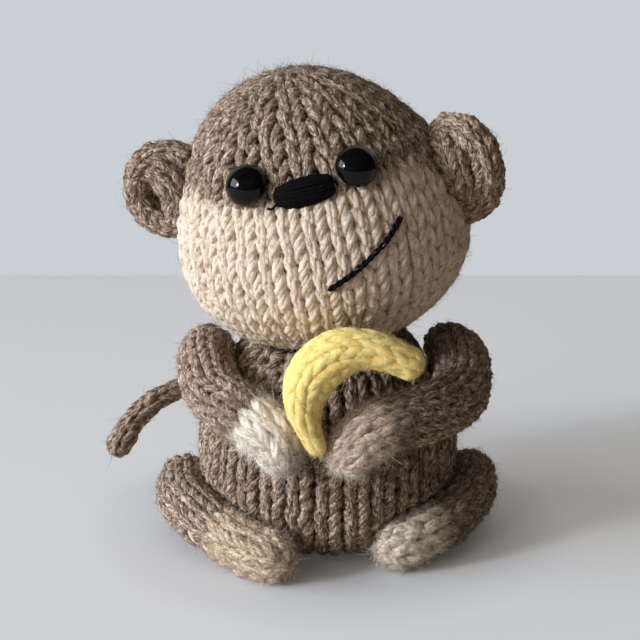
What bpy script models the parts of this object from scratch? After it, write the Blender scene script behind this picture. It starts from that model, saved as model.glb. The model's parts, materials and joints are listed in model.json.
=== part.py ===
"""A hand knitted monkey doll, sitting and holding a banana, built in metres with +Z up.

The doll faces -Y and its right side is at -X. The origin is the centre of the flat patch
that it sits on. Every knitted piece is a shell of fabric round its own stuffing.
"""

import math

import bmesh
import bpy
from mathutils import Matrix, Vector

COLLECTION = "knitted_monkey_doll"

# Fabric and clearances
GAP = 0.0003
FABRIC = 0.002
STUFFING_INSET = FABRIC + GAP
SEAT_GAP = 0.00055
CUT_OVERRUN = 0.002
FLOOR_ROOM = 0.2

# Body: a squat pear, pressed flat underneath
BODY_RADIUS = 0.0302
BODY_WIDEST_HEIGHT = 0.021
BODY_TOP_HEIGHT = 0.057
PRESSED_DEPTH = 0.0005
BODY_LOWER_POWER = 3.4
BODY_UPPER_POWER = 1.8

# Head: a domed ball, rolled towards its right side, with the crown leaning the same way
HEAD_RADIUS = 0.033
CROWN_HEIGHT = 0.0383
CHIN_DEPTH = 0.025
CROWN_POWER = 1.94
CHIN_POWER = 2.16
CROWN_LEAN = 0.003
HEAD_ROLL_DEG = 9.5
CHIN_ABOVE_FLOOR_SHARE = 0.833
CHIN_SIDE = 0.0032
CHIN_FORWARD = 0.002
YARN_CHANGE_SHARE = 0.395

# Face: safety eyes on ridged shanks, a satin stitched nose and a mouth of one strand
EYE_RADIUS = 0.0046
EYE_DOME = 0.0042
EYE_RIM = 0.0006
SHANK_RADIUS = 0.0015
SHANK_LENGTH = 0.009
RIDGE_HEIGHT = 0.0003
RIDGES = 3
WASHER_RADIUS = 0.0045
WASHER_THICKNESS = 0.001
WASHER_HUB_RADIUS = 0.0028
WASHER_HUB_HEIGHT = 0.0012
EYES = {"right": (-26, 0.497), "left": (22.3, 0.507)}
NOSE_RADIUS = 0.0031
NOSE_SUNK_SHARE = 0.2
NOSE_PLACES = ((-12.5, 0.428), (-7.5, 0.433), (-2, 0.440), (4, 0.448), (8.5, 0.452))
NOSE_RADIUS_SHARES = (0.66, 0.88, 0.98, 1.0, 0.86)
MOUTH_RADIUS = 0.0007
MOUTH_RAISED_SHARE = 0.35
MOUTH_PLACES = ((0.5, -0.107), (8, -0.055), (14.5, -0.003), (20, 0.05), (24.5, 0.092), (29, 0.145), (33, 0.198))

# Ears: cups with a thick rolled rim, open to the front
EAR_RADIUS = 0.0112
EAR_WIDTH_SHARE = 0.92
EAR_DEPTH = 0.0082
EAR_FABRIC = 0.0042
EAR_SETTING = {
    "right": {"azimuth": -88, "height_share": 0.42, "out_share": 0.22, "turn_deg": 8, "size_share": 1},
    "left": {"azimuth": 78, "height_share": 0.30, "out_share": 0.17, "turn_deg": -30, "size_share": 1.1},
}

# Arms: (azimuth, height as a share of the body's, how deep it is pressed in as a share of the arm's radius)
ARM_RADIUS = 0.0067
ARM_SWELL_SHARES = (0.92, 1.0, 1.03, 1.02, 1.0, 0.97, 0.93, 0.84)
ARM_ROUTES = {
    "right": (
        (-92, 0.765, 0.35),
        (-81, 0.760, 0.35),
        (-67, 0.730, 0.35),
        (-53, 0.690, 0.25),
        (-38, 0.668, 0.1),
        (-27, 0.638, 0),
        (-20, 0.597, 0),
        (-17.5, 0.553, 0),
    ),
    "left": (
        (95, 0.765, 0.25),
        (86, 0.745, 0.15),
        (76, 0.705, 0.15),
        (60, 0.660, 0.1),
        (41, 0.655, 0),
        (23, 0.645, 0),
        (12.5, 0.606, 0),
        (8, 0.553, 0),
    ),
}
CUFF_SHARES = {"right": 0.70, "left": 0.73}

# Legs: (azimuth, distance as a share of the body's radius, height as a share of the leg's radius)
LEG_RADIUS = 0.0065
LEG_SWELL_SHARES = (0.97, 1.02, 1.0, 0.97, 0.97, 0.95)
LEG_ROUTES = {
    "right": (
        (-92, 1.11, 1.69),
        (-80, 1.125, 1.54),
        (-66, 1.09, 1.36),
        (-50, 1.055, 1.12),
        (-34.5, 1.075, 0.95),
        (-22, 1.125, 0.90),
    ),
    "left": (
        (98, 1.13, 1.69),
        (85, 1.095, 1.54),
        (69, 1.045, 1.36),
        (53, 1.01, 1.16),
        (40, 0.98, 1.0),
        (33, 0.965, 0.90),
    ),
}
SOLE_SHARES = {"right": 0.60, "left": 0.53}

# Tail: sewn low on the back, curling out past the right hip
TAIL_LENGTH = 0.050
TAIL_RADIUS = 0.0027
TAIL_ROOT = (-160, 0.36)
TAIL_PRESSED_SHARE = 0.45
TAIL_ROUTE_SHARES = (
    (0, 0, 0),
    (-0.10, 0.09, 0.04),
    (-0.26, 0.09, 0.07),
    (-0.44, 0.0, 0.09),
    (-0.60, -0.10, 0.06),
    (-0.72, -0.18, -0.02),
    (-0.80, -0.23, -0.14),
)
TAIL_SWELL_SHARES = (0.95, 0.95, 1.0, 1.0, 1.05, 1.2, 1.25)

# Banana: a crescent whose stalk end stands between the paws
BANANA_BEND_RADIUS = 0.0113
BANANA_RADIUS = 0.0047
BANANA_OPENING_SHARE = 0.22
BANANA_ANGLES_DEG = (232, 38)
BANANA_CENTRE_SIDE = 0.0062
BANANA_CENTRE_SHARE = 0.772
BANANA_FORWARD = 0.0008
BANANA_SWELL_SHARES = (0.42, 0.62, 0.88, 1.0, 1.02, 1.0, 0.93, 0.84, 0.72)
BANANA_PULL_DEG = 30

# How finely the round forms are cut into facets
BODY_STEPS = 26
BALL_RINGS = 8
LIMB_RINGS = 12
CAP_RINGS = 2
LIMB_SIDES = 3
CORE_SIDES = 1
SMALL_STEPS = 14
BORE_STEPS = 10
MERGE = 0.00001
SMOOTH_DEG = 50

COLOURS = {
    "brown_yarn": ((0.235, 0.170, 0.125), 0.95),
    "cream_yarn": ((0.72, 0.56, 0.43), 0.95),
    "pale_yarn": ((0.80, 0.70, 0.62), 0.95),
    "yellow_yarn": ((0.95, 0.66, 0.16), 0.92),
    "black_yarn": ((0.012, 0.012, 0.014), 0.75),
    "eye_plastic": ((0.006, 0.006, 0.007), 0.06),
    "washer_plastic": ((0.75, 0.75, 0.73), 0.45),
    "stuffing": ((0.90, 0.89, 0.86), 0.98),
}


def clear_scene():
    for old in list(bpy.data.objects):
        bpy.data.objects.remove(old, do_unlink=True)


def new_collection(name):
    collection = bpy.data.collections.new(name)
    bpy.context.scene.collection.children.link(collection)
    return collection


def new_material(name):
    colour, roughness = COLOURS[name]
    material = bpy.data.materials.new(name)
    material.use_nodes = True
    shader = material.node_tree.nodes["Principled BSDF"]
    shader.inputs["Base Color"].default_value = (*colour, 1)
    shader.inputs["Roughness"].default_value = roughness
    shader.inputs["Metallic"].default_value = 0
    material.diffuse_color = (*colour, 1)
    return material


class Workshop:
    """The two collections and the materials that every piece draws on."""

    def __init__(self):
        self.parts = new_collection(COLLECTION)
        self.cutters = new_collection("cutters")
        self.materials = {name: new_material(name) for name in COLOURS}

    def part(self, name, obj, material):
        """Names an object, gives it its material and makes it one of the doll's pieces."""
        move_to(obj, self.parts)
        obj.name = name
        obj.data.name = name
        obj.data.materials.clear()
        obj.data.materials.append(self.materials[material])
        obj.data.shade_smooth()
        obj.data.set_sharp_from_angle(angle=math.radians(SMOOTH_DEG))
        return obj

    def cutter(self, name, obj):
        """Hides an object that only cuts others."""
        move_to(obj, self.cutters)
        obj.name = name
        obj.hide_render = True
        obj.display_type = "WIRE"
        return obj


def move_to(obj, collection):
    for owner in list(obj.users_collection):
        owner.objects.unlink(obj)
    collection.objects.link(obj)


def object_from(mesh, name="piece"):
    obj = bpy.data.objects.new(name, mesh)
    bpy.context.scene.collection.objects.link(obj)
    return obj


def frozen(obj, weld=False):
    """The object as a plain mesh, with its modifiers or its curve worked into it."""
    bpy.context.view_layer.update()
    graph = bpy.context.evaluated_depsgraph_get()
    mesh = bpy.data.meshes.new_from_object(obj.evaluated_get(graph))
    if weld:
        work = bmesh.new()
        work.from_mesh(mesh)
        bmesh.ops.remove_doubles(work, verts=work.verts, dist=MERGE)
        bmesh.ops.recalc_face_normals(work, faces=work.faces)
        work.to_mesh(mesh)
        work.free()
    made = object_from(mesh)
    made.matrix_world = obj.matrix_world
    bpy.data.objects.remove(obj, do_unlink=True)
    return made


def cut(obj, cutter):
    modifier = obj.modifiers.new("cut by " + cutter.name, "BOOLEAN")
    modifier.operation = "DIFFERENCE"
    modifier.object = cutter


def reshaped(obj, place):
    """Moves each vertex to where place says."""
    for vertex in obj.data.vertices:
        vertex.co = place(vertex.co)
    return obj


def turned(profile, steps=BODY_STEPS, wall=None):
    """A profile of (radius, height) points turned round Z: top to bottom is facing out."""
    mesh = bpy.data.meshes.new("profile")
    points = [(radius, 0, height) for radius, height in profile]
    mesh.from_pydata(points, [(i, i + 1) for i in range(len(points) - 1)], [])
    obj = object_from(mesh)
    screw = obj.modifiers.new("turn", "SCREW")
    screw.steps = screw.render_steps = steps
    screw.use_merge_vertices = True
    screw.merge_threshold = MERGE
    if wall is not None:
        shell = obj.modifiers.new("fabric", "SOLIDIFY")
        shell.thickness = wall
        shell.offset = -1
        shell.use_even_offset = True
    return frozen(obj)


def tube(points, radii, sides):
    """A tube along the points that swells with the radii, closed at both ends."""
    curve = bpy.data.curves.new("route", "CURVE")
    curve.dimensions = "3D"
    curve.bevel_depth = max(radii)
    curve.bevel_resolution = sides
    curve.use_fill_caps = True
    spline = curve.splines.new("POLY")
    spline.points.add(len(points) - 1)
    for spot, point, radius in zip(spline.points, points, radii):
        spot.co = (*point, 1)
        spot.radius = radius / max(radii)
    return frozen(object_from(curve), weld=True)


def smooth_value(values, share):
    """Reads evenly spaced values, numbers or vectors, at a share of the way along them."""
    place = share * (len(values) - 1)
    i = min(int(place), len(values) - 2)
    t = place - i
    before = values[max(i - 1, 0)]
    after = values[min(i + 2, len(values) - 1)]
    start, end = values[i], values[i + 1]
    rise_0 = (end - before) / 2 if i else end - start
    rise_1 = (after - start) / 2 if i + 2 < len(values) else end - start
    return (
        start * (2 * t**3 - 3 * t**2 + 1)
        + rise_0 * (t**3 - 2 * t**2 + t)
        + end * (3 * t**2 - 2 * t**3)
        + rise_1 * (t**3 - t**2)
    )


def superellipse(radius, reach, power, share):
    """One quarter of a swollen curve: (radius, height) at a share of the way to its pole."""
    angle = share * math.pi / 2
    return (
        radius * math.cos(angle) ** (2 / power),
        reach * math.sin(angle) ** (2 / power),
    )


def offset_profile(profile, distance):
    """The profile moved out along its normals, or in where the distance is negative."""
    moved = []
    for i, (radius, height) in enumerate(profile):
        before = profile[max(i - 1, 0)]
        after = profile[min(i + 1, len(profile) - 1)]
        along = Vector((after[0] - before[0], after[1] - before[1]))
        if i == 0 and radius == 0:
            along = Vector((1, 0))
        if i == len(profile) - 1 and radius == 0:
            along = Vector((-1, 0))
        along.normalize()
        moved.append((max(radius - along.y * distance, 0), height + along.x * distance))
    return moved


# Body

def body_profile():
    """The body's outside from its closed top to the middle of the patch it sits on."""
    above = BODY_TOP_HEIGHT - BODY_WIDEST_HEIGHT
    below = BODY_WIDEST_HEIGHT + PRESSED_DEPTH
    points = []
    for i in range(BALL_RINGS + 1):
        radius, rise = superellipse(BODY_RADIUS, above, BODY_UPPER_POWER, 1 - i / BALL_RINGS)
        points.append((radius, BODY_WIDEST_HEIGHT + rise))
    for i in range(1, BALL_RINGS + 1):
        radius, drop = superellipse(BODY_RADIUS, below, BODY_LOWER_POWER, i / BALL_RINGS)
        points.append((radius, BODY_WIDEST_HEIGHT - drop))
    points[0] = (0, BODY_TOP_HEIGHT)
    points[-1] = (0, -PRESSED_DEPTH)
    return points


def body_radius_at(height):
    if height > BODY_WIDEST_HEIGHT:
        share = (height - BODY_WIDEST_HEIGHT) / (BODY_TOP_HEIGHT - BODY_WIDEST_HEIGHT)
        power = BODY_UPPER_POWER
    else:
        share = (BODY_WIDEST_HEIGHT - height) / (BODY_WIDEST_HEIGHT + PRESSED_DEPTH)
        power = BODY_LOWER_POWER
    return BODY_RADIUS * max(1 - min(share, 1) ** power, 0) ** (1 / power)


def resting_distance(height, radius):
    """How far from the body's axis a ball lies when it is pushed against the body."""
    reach = radius + GAP
    farthest = 0
    for i in range(-BODY_STEPS, BODY_STEPS + 1):
        rise = reach * i / BODY_STEPS
        across = math.sqrt(max(reach**2 - rise**2, 0))
        farthest = max(farthest, body_radius_at(height + rise) + across)
    return farthest


def around_body(azimuth_deg, height, distance):
    """A point beside the body: azimuth 0 is in front and 90 is the doll's left side."""
    angle = math.radians(azimuth_deg)
    return Vector((distance * math.sin(angle), -distance * math.cos(angle), height))


def make_body(shop, head_room, floor_cutter, limbs):
    """The body's cover and stuffing, both dented where the limbs are pressed into them."""
    outline = body_profile()
    cover = shop.part("body_cover", turned(outline), "brown_yarn")
    hollow = shop.cutter("body_hollow", turned(offset_profile(outline, -FABRIC)))
    filling = turned(thinned(offset_profile(outline, -STUFFING_INSET)))
    stuffing = shop.part("body_stuffing", filling, "stuffing")
    layers = ((cover, 0), (hollow, FABRIC), (stuffing, STUFFING_INSET))
    for name, (points, widths) in limbs.items():
        for piece, depth in layers:
            radii = [width + SEAT_GAP + depth for width in widths]
            room = tube(*rounded_ends(points, radii), LIMB_SIDES)
            cut(piece, shop.cutter(name + "_in_" + piece.name, room))
    for piece in (cover, stuffing):
        cut(piece, head_room)
    for cutter in (floor_cutter, hollow):
        cut(cover, cutter)


def thinned(profile):
    """Every second point, both ends kept, for a piece that never shows."""
    return profile[:-1:2] + [profile[-1]]


# Head

def head_frame():
    """The head's own axes: X to its left, Y to its back, Z to its crown."""
    roll = Matrix.Rotation(-math.radians(HEAD_ROLL_DEG), 4, "Y")
    chin = Vector((CHIN_SIDE, -CHIN_FORWARD, BODY_TOP_HEIGHT * CHIN_ABOVE_FLOOR_SHARE))
    centre = chin + roll @ Vector((0, 0, CHIN_DEPTH))
    return Matrix.Translation(centre) @ roll


def lean(point):
    """The crown's sideways lean, which grows towards the top and spares the chin."""
    share = max(point.z, 0) / CROWN_HEIGHT
    return Vector((point.x - CROWN_LEAN * share**2, point.y, point.z))


def head_radius_at(height):
    reach, power = (CROWN_HEIGHT, CROWN_POWER) if height > 0 else (CHIN_DEPTH, CHIN_POWER)
    share = min(abs(height) / reach, 1)
    return HEAD_RADIUS * (1 - share**power) ** (1 / power)


def head_profile():
    """The head's outside from the crown to the chin, with a point where the yarn changes."""
    change = CROWN_HEIGHT * YARN_CHANGE_SHARE
    points = [(0, CROWN_HEIGHT)]
    for i in range(1, BALL_RINGS):
        radius, rise = superellipse(HEAD_RADIUS, CROWN_HEIGHT, CROWN_POWER, 1 - i / BALL_RINGS)
        points.append((radius, rise))
    for i in range(BALL_RINGS):
        radius, drop = superellipse(HEAD_RADIUS, CHIN_DEPTH, CHIN_POWER, i / BALL_RINGS)
        points.append((radius, -drop))
    points.append((0, -CHIN_DEPTH))
    nearest = min(range(len(points)), key=lambda i: abs(points[i][1] - change))
    points[nearest] = (head_radius_at(change), change)
    return points, nearest


def around_head(azimuth_deg, height, outward=0):
    """A point on the head's outside, in the head's own axes, and the way out of it there."""
    angle = math.radians(azimuth_deg)
    radial = Vector((math.sin(angle), -math.cos(angle), 0))
    nudge = HEAD_RADIUS / BODY_STEPS
    slope = (head_radius_at(height + nudge) - head_radius_at(height - nudge)) / (2 * nudge)
    normal = (radial - Vector((0, 0, slope))).normalized()
    spot = lean(radial * head_radius_at(height) + Vector((0, 0, height)))
    return spot + normal * outward, normal


def yarn_profiles(profile, change):
    """The head's profile in two stretches, half a gap from where the yarn changes."""
    edge = Vector(profile[change])
    along = (Vector(profile[change + 1]) - Vector(profile[change - 1])).normalized()
    short, long = along * (GAP / 2), along * FABRIC / 2
    above = profile[:change] + [tuple(edge - long), tuple(edge - short)]
    below = [tuple(edge + short), tuple(edge + long)] + profile[change + 1 :]
    return above, below


def make_head(shop):
    frame = head_frame()
    outline, change = head_profile()
    above, below = yarn_profiles(outline, change)
    shapes = {"head_crown": (above, "brown_yarn"), "head_face": (below, "cream_yarn")}
    pieces = {}
    for name, (profile, material) in shapes.items():
        shell = reshaped(turned(profile, wall=FABRIC), lean)
        pieces[name] = shop.part(name, shell, material)
    filling = turned(thinned(offset_profile(outline, -STUFFING_INSET)))
    pieces["head_stuffing"] = shop.part("head_stuffing", reshaped(filling, lean), "stuffing")
    for piece in pieces.values():
        piece.matrix_world = frame
    return pieces


def make_head_room(shop):
    """The head's outside with its clearance, which cuts all that lies against the head."""
    outline, _ = head_profile()
    room = reshaped(turned(offset_profile(outline, GAP)), lean)
    room.matrix_world = head_frame()
    return shop.cutter("head_room", room)


# Eyes

def eye_matrix(side):
    azimuth, height_share = EYES[side]
    spot, normal = around_head(azimuth, CROWN_HEIGHT * height_share)
    return head_frame() @ Matrix.Translation(spot) @ normal.to_track_quat("Z", "Y").to_matrix().to_4x4()


def eye_profile():
    """The glossy dome, its flat back and the ridged shank, from the dome's top down."""
    points = []
    for i in range(BALL_RINGS // 2 + 1):
        radius, rise = superellipse(EYE_RADIUS, EYE_DOME - EYE_RIM, 2, 1 - 2 * i / BALL_RINGS)
        points.append((radius, GAP + EYE_RIM + rise))
    points[0] = (0, GAP + EYE_DOME)
    points.append((EYE_RADIUS - EYE_RIM / 2, GAP))
    points.append((SHANK_RADIUS, GAP))
    ridged = SHANK_LENGTH - FABRIC - WASHER_THICKNESS
    pitch = ridged / (RIDGES + 1)
    for i in range(RIDGES):
        top = GAP - FABRIC - pitch * (i + 1 / 2)
        points.append((SHANK_RADIUS, top))
        points.append((SHANK_RADIUS + RIDGE_HEIGHT, top - pitch / 4))
        points.append((SHANK_RADIUS, top - pitch / 2))
    points.append((SHANK_RADIUS - RIDGE_HEIGHT, GAP - SHANK_LENGTH))
    points.append((0, GAP - SHANK_LENGTH))
    return points


def washer_profile():
    """A flat washer whose hub grips the shank, from the side against the fabric inwards."""
    dip = WASHER_RADIUS**2 / HEAD_RADIUS
    face = -FABRIC - dip - GAP
    bore = SHANK_RADIUS + RIDGE_HEIGHT + GAP
    back = face - WASHER_THICKNESS
    hub = back - WASHER_HUB_HEIGHT
    outline = [
        (bore, face),
        (WASHER_RADIUS, face),
        (WASHER_RADIUS, back),
        (WASHER_HUB_RADIUS, back),
        (WASHER_HUB_RADIUS, hub),
        (bore, hub),
        (bore, face),
    ]
    return outline


def make_eyes(shop, pieces):
    for side in EYES:
        frame = eye_matrix(side)
        eye = shop.part("eye_" + side, turned(eye_profile(), SMALL_STEPS), "eye_plastic")
        washer_shape = turned(washer_profile(), SMALL_STEPS)
        washer = shop.part("eye_washer_" + side, washer_shape, "washer_plastic")
        bore_radius = SHANK_RADIUS + RIDGE_HEIGHT + GAP
        bore = turned(plug_profile(bore_radius, CUT_OVERRUN, -SHANK_LENGTH), BORE_STEPS)
        pocket_radius = WASHER_RADIUS + GAP
        pocket = turned(plug_profile(pocket_radius, CUT_OVERRUN, -SHANK_LENGTH), SMALL_STEPS)
        shop.cutter("eye_bore_" + side, bore)
        shop.cutter("eye_pocket_" + side, pocket)
        for obj in (eye, washer, bore, pocket):
            obj.matrix_world = frame
        cut(pieces["head_crown"], bore)
        cut(pieces["head_stuffing"], pocket)


def plug_profile(radius, top, bottom):
    return [(0, top), (radius, top), (radius, bottom), (0, bottom)]


# Nose and mouth

def face_tube(places, radii, offset_shares, sides, rings):
    """A tube laid along the face through (azimuth, share of the crown's height) places."""
    spots = [Vector(place) for place in places]
    points, widths = [], []
    for i in range(rings + 1):
        share = i / rings
        azimuth, height_share = smooth_value(spots, share)
        radius = smooth_value(radii, share)
        point, _ = around_head(azimuth, CROWN_HEIGHT * height_share, radius * offset_shares)
        points.append(point)
        widths.append(radius)
    return points, widths


def rounded_ends(points, widths):
    """The same tube with a ball's curve added at each end."""
    first = (points[0] - points[1]).normalized()
    last = (points[-1] - points[-2]).normalized()
    before, after = [], []
    for i in range(CAP_RINGS):
        angle = math.pi / 2 * (i + 2 / 5) / (CAP_RINGS + 2 / 5)
        reach, width = math.cos(angle), math.sin(angle)
        before.append((points[0] + first * widths[0] * reach, widths[0] * width))
        after.append((points[-1] + last * widths[-1] * reach, widths[-1] * width))
    stations = before + list(zip(points, widths)) + after[::-1]
    return [point for point, _ in stations], [width for _, width in stations]


def make_nose_and_mouth(shop, head_room):
    nose_radii = [NOSE_RADIUS * share for share in NOSE_RADIUS_SHARES]
    nose_line = face_tube(NOSE_PLACES, nose_radii, -NOSE_SUNK_SHARE, LIMB_SIDES, 6)
    nose = shop.part("nose", tube(*rounded_ends(*nose_line), LIMB_SIDES), "black_yarn")
    mouth_radii = [MOUTH_RADIUS] * len(MOUTH_PLACES)
    mouth_line = face_tube(MOUTH_PLACES, mouth_radii, MOUTH_RAISED_SHARE, CORE_SIDES, 12)
    mouth = shop.part("mouth", tube(*rounded_ends(*mouth_line), CORE_SIDES), "black_yarn")
    for piece in (nose, mouth):
        piece.matrix_world = head_frame()
        cut(piece, head_room)


# Ears

def ear_profile():
    """A cup open upwards: up its inside from the middle, over the rim and down its outside."""
    inner_radius = EAR_RADIUS - EAR_FABRIC
    inner_depth = EAR_DEPTH - EAR_FABRIC
    points = []
    for i in range(4):
        radius, drop = superellipse(inner_radius, inner_depth, 2, 1 - i / 4)
        points.append((radius, -drop))
    points[0] = (0, -inner_depth)
    rim = EAR_FABRIC / 2
    for i in range(1, 4):
        angle = math.pi * i / 4
        points.append((inner_radius + rim - rim * math.cos(angle), rim * math.sin(angle)))
    for i in range(6):
        radius, drop = superellipse(EAR_RADIUS, EAR_DEPTH, 2, i / 6)
        points.append((radius, -drop))
    points.append((0, -EAR_DEPTH))
    return points


def ear_matrix(side):
    """The ear's own axes: Z out of its cup, Y along the head's axis."""
    setting = EAR_SETTING[side]
    height = CROWN_HEIGHT * setting["height_share"]
    outward = EAR_RADIUS * setting["out_share"]
    spot, _ = around_head(setting["azimuth"], height)
    angle = math.radians(setting["azimuth"])
    radial = Vector((math.sin(angle), -math.cos(angle), 0))
    forward = Vector((-math.cos(angle), -math.sin(angle), 0))
    if side == "right":
        forward = -forward
    turn = math.radians(setting["turn_deg"])
    facing = forward * math.cos(turn) + radial * math.sin(turn)
    up = Vector((0, 0, 1))
    across = up.cross(facing)
    turned_axes = Matrix((across, up, facing)).transposed().to_4x4()
    size = setting["size_share"]
    squeeze = Matrix.Diagonal((EAR_WIDTH_SHARE, size, 1, 1))
    return Matrix.Translation(spot + radial * outward) @ turned_axes @ squeeze


def make_ears(shop, head_room):
    for side in EAR_SETTING:
        cup = turned(ear_profile(), SMALL_STEPS + BORE_STEPS // 2)
        placed = ear_matrix(side)
        reshaped(cup, lambda point, placed=placed: placed @ point)
        ear = shop.part("ear_" + side, cup, "brown_yarn")
        ear.matrix_world = head_frame()
        cut(ear, head_room)


# Limbs

def limb_line(places, radii):
    """Points and radii spaced evenly along a limb, from its sewn end."""
    shares = [i / LIMB_RINGS for i in range(LIMB_RINGS + 1)]
    return [smooth_value(places, share) for share in shares], [smooth_value(radii, share) for share in shares]


def arm_line(side):
    route = ARM_ROUTES[side]
    radii = [ARM_RADIUS * share for share in ARM_SWELL_SHARES]
    places = []
    for (azimuth, height_share, pressed), radius in zip(route, radii):
        height = BODY_TOP_HEIGHT * height_share
        distance = resting_distance(height, radius) - ARM_RADIUS * pressed
        places.append(around_body(azimuth, height, distance))
    return limb_line(places, radii)


def leg_line(side):
    radii = [LEG_RADIUS * share for share in LEG_SWELL_SHARES]
    places = []
    for azimuth, distance_share, height_share in LEG_ROUTES[side]:
        place = around_body(azimuth, LEG_RADIUS * height_share, BODY_RADIUS * distance_share)
        places.append(place)
    return limb_line(places, radii)


def tail_line():
    azimuth, height_share = TAIL_ROOT
    height = BODY_TOP_HEIGHT * height_share
    distance = resting_distance(height, TAIL_RADIUS) - TAIL_RADIUS * TAIL_PRESSED_SHARE
    root = around_body(azimuth, height, distance)
    places = [root + Vector(share) * TAIL_LENGTH for share in TAIL_ROUTE_SHARES]
    return limb_line(places, [TAIL_RADIUS * share for share in TAIL_SWELL_SHARES])


def split_at(points, widths, share):
    """The limb's stations before and after the row where its yarn changes."""
    count = len(points) - 1
    spot = smooth_value(points, share)
    width = smooth_value(widths, share)
    nudge = 1 / (4 * count)
    along = (smooth_value(points, share + nudge) - smooth_value(points, share - nudge)).normalized()
    edge, lead = along * (GAP / 2), along * (GAP / 2 + MERGE + GAP)
    near = share * count
    before = [(p, w) for i, (p, w) in enumerate(zip(points, widths)) if i < near - 1 / 2]
    after = [(p, w) for i, (p, w) in enumerate(zip(points, widths)) if i > near + 1 / 2]
    before += [(spot - lead, width), (spot - edge, width)]
    after = [(spot + edge, width), (spot + lead, width)] + after
    return before, after


def make_limb(shop, names, materials, stations, share, cutters):
    """The two yarns of one limb's cover, and the stuffing that fills them."""
    points, widths = stations
    upper, lower = split_at(points, widths, share)
    start, start_widths = rounded_ends(points, widths)
    upper_points = start[:CAP_RINGS] + [p for p, _ in upper]
    upper_widths = start_widths[:CAP_RINGS] + [w for _, w in upper]
    lower_points = [p for p, _ in lower] + start[-CAP_RINGS:]
    lower_widths = [w for _, w in lower] + start_widths[-CAP_RINGS:]
    hollow_line = rounded_ends(points, [width - FABRIC for width in widths])
    hollow = shop.cutter(names[0] + "_hollow", tube(*hollow_line, CORE_SIDES))
    covers = []
    for name, material, line in (
        (names[0], materials[0], (upper_points, upper_widths)),
        (names[1], materials[1], (lower_points, lower_widths)),
    ):
        cover = shop.part(name, tube(*line, LIMB_SIDES), material)
        for cutter in cutters:
            cut(cover, cutter)
        cut(cover, hollow)
        covers.append(cover)
    core_line = rounded_ends(points, [width - STUFFING_INSET for width in widths])
    stuffing = shop.part(names[2], tube(*core_line, CORE_SIDES), "stuffing")
    return covers, stuffing


def make_arms(shop, limbs, head_room, banana_room):
    for side in ARM_ROUTES:
        names = ("arm_sleeve_" + side, "arm_paw_" + side, "arm_stuffing_" + side)
        yarns = ("brown_yarn", "pale_yarn")
        cutters = (head_room, banana_room)
        make_limb(shop, names, yarns, limbs["arm_" + side], CUFF_SHARES[side], cutters)


def make_legs(shop, limbs, floor_cutter):
    for side in LEG_ROUTES:
        names = ("leg_" + side, "foot_" + side, "leg_stuffing_" + side)
        yarns = ("brown_yarn", "cream_yarn")
        make_limb(shop, names, yarns, limbs["leg_" + side], SOLE_SHARES[side], (floor_cutter,))


# Banana

def banana_stations(extra=0):
    """A crescent in the upright plane in front of the chest, from its stalk to its tip."""
    height = BODY_TOP_HEIGHT * BANANA_CENTRE_SHARE
    paw_height = BODY_TOP_HEIGHT * ARM_ROUTES["left"][-1][1]
    front = resting_distance(paw_height, ARM_RADIUS) + BANANA_FORWARD
    centre = Vector((BANANA_CENTRE_SIDE, -front, height))
    radii = [BANANA_RADIUS * share for share in BANANA_SWELL_SHARES]
    first, last = BANANA_ANGLES_DEG
    points, widths = [], []
    for i in range(LIMB_RINGS + 1):
        share = i / LIMB_RINGS
        angle = math.radians(first + (last - first) * share)
        spread = 1 + BANANA_OPENING_SHARE * (2 * share - 1) ** 4
        reach = BANANA_BEND_RADIUS * spread
        points.append(centre + Vector((reach * math.cos(angle), 0, reach * math.sin(angle))))
        widths.append(smooth_value(radii, share) + extra)
    return rounded_ends(points, widths)


def make_banana_room(shop):
    return shop.cutter("banana_room", tube(*banana_stations(GAP), LIMB_SIDES))


def make_banana(shop):
    shop.part("banana", tube(*banana_stations(), LIMB_SIDES), "yellow_yarn")


def make_floor_cutter(shop):
    """A slab under the floor's level, which flattens what the doll sits on."""
    work = bmesh.new()
    bmesh.ops.create_cube(work, size=FLOOR_ROOM)
    bmesh.ops.translate(work, verts=work.verts, vec=(0, 0, -FLOOR_ROOM / 2))
    mesh = bpy.data.meshes.new("floor")
    work.to_mesh(mesh)
    work.free()
    return shop.cutter("floor_cutter", object_from(mesh))


# Joints

def upright_at(place):
    return Matrix.Translation(place)


def pull_direction():
    """The way the banana comes out from between the paws: forward and up."""
    angle = math.radians(BANANA_PULL_DEG)
    return Vector((0, -math.cos(angle), math.sin(angle)))


def joint_frames(limbs):
    """Each joint's place, with Z along its axis, and the first words of what it carries."""
    pull = pull_direction().to_track_quat("Z", "Y").to_matrix().to_4x4()
    grip = Matrix.Translation(banana_stations()[0][0]) @ pull
    frames = {"head": (head_frame(), ("head_", "eye_", "nose", "mouth", "ear_"))}
    for side in ARM_ROUTES:
        arm_root, leg_root = limbs["arm_" + side][0][0], limbs["leg_" + side][0][0]
        arm_words = tuple(f"arm_{part}_{side}" for part in ("sleeve", "paw", "stuffing"))
        leg_words = ("leg_" + side, "foot_" + side, "leg_stuffing_" + side)
        frames["shoulder_" + side] = (upright_at(arm_root), arm_words)
        frames["hip_" + side] = (upright_at(leg_root), leg_words)
    frames["tail_root"] = (upright_at(limbs["tail"][0][0]), ("tail",))
    frames["banana_grip"] = (grip, ("banana",))
    return frames


def hang_on_joints(shop, limbs):
    """Gives each moving piece a parent empty that stands on its joint's axis."""
    empties = {}
    for name, (frame, words) in joint_frames(limbs).items():
        empty = bpy.data.objects.new(name + "_joint", None)
        empty.empty_display_size = ARM_RADIUS
        shop.parts.objects.link(empty)
        empty.matrix_world = frame
        empties[name] = empty
        for piece in list(shop.parts.objects):
            if piece.type == "MESH" and piece.name.startswith(words):
                hang(piece, empty, frame)
    hang(empties["banana_grip"], empties["shoulder_left"], upright_at(limbs["arm_left"][0][0]))


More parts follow.
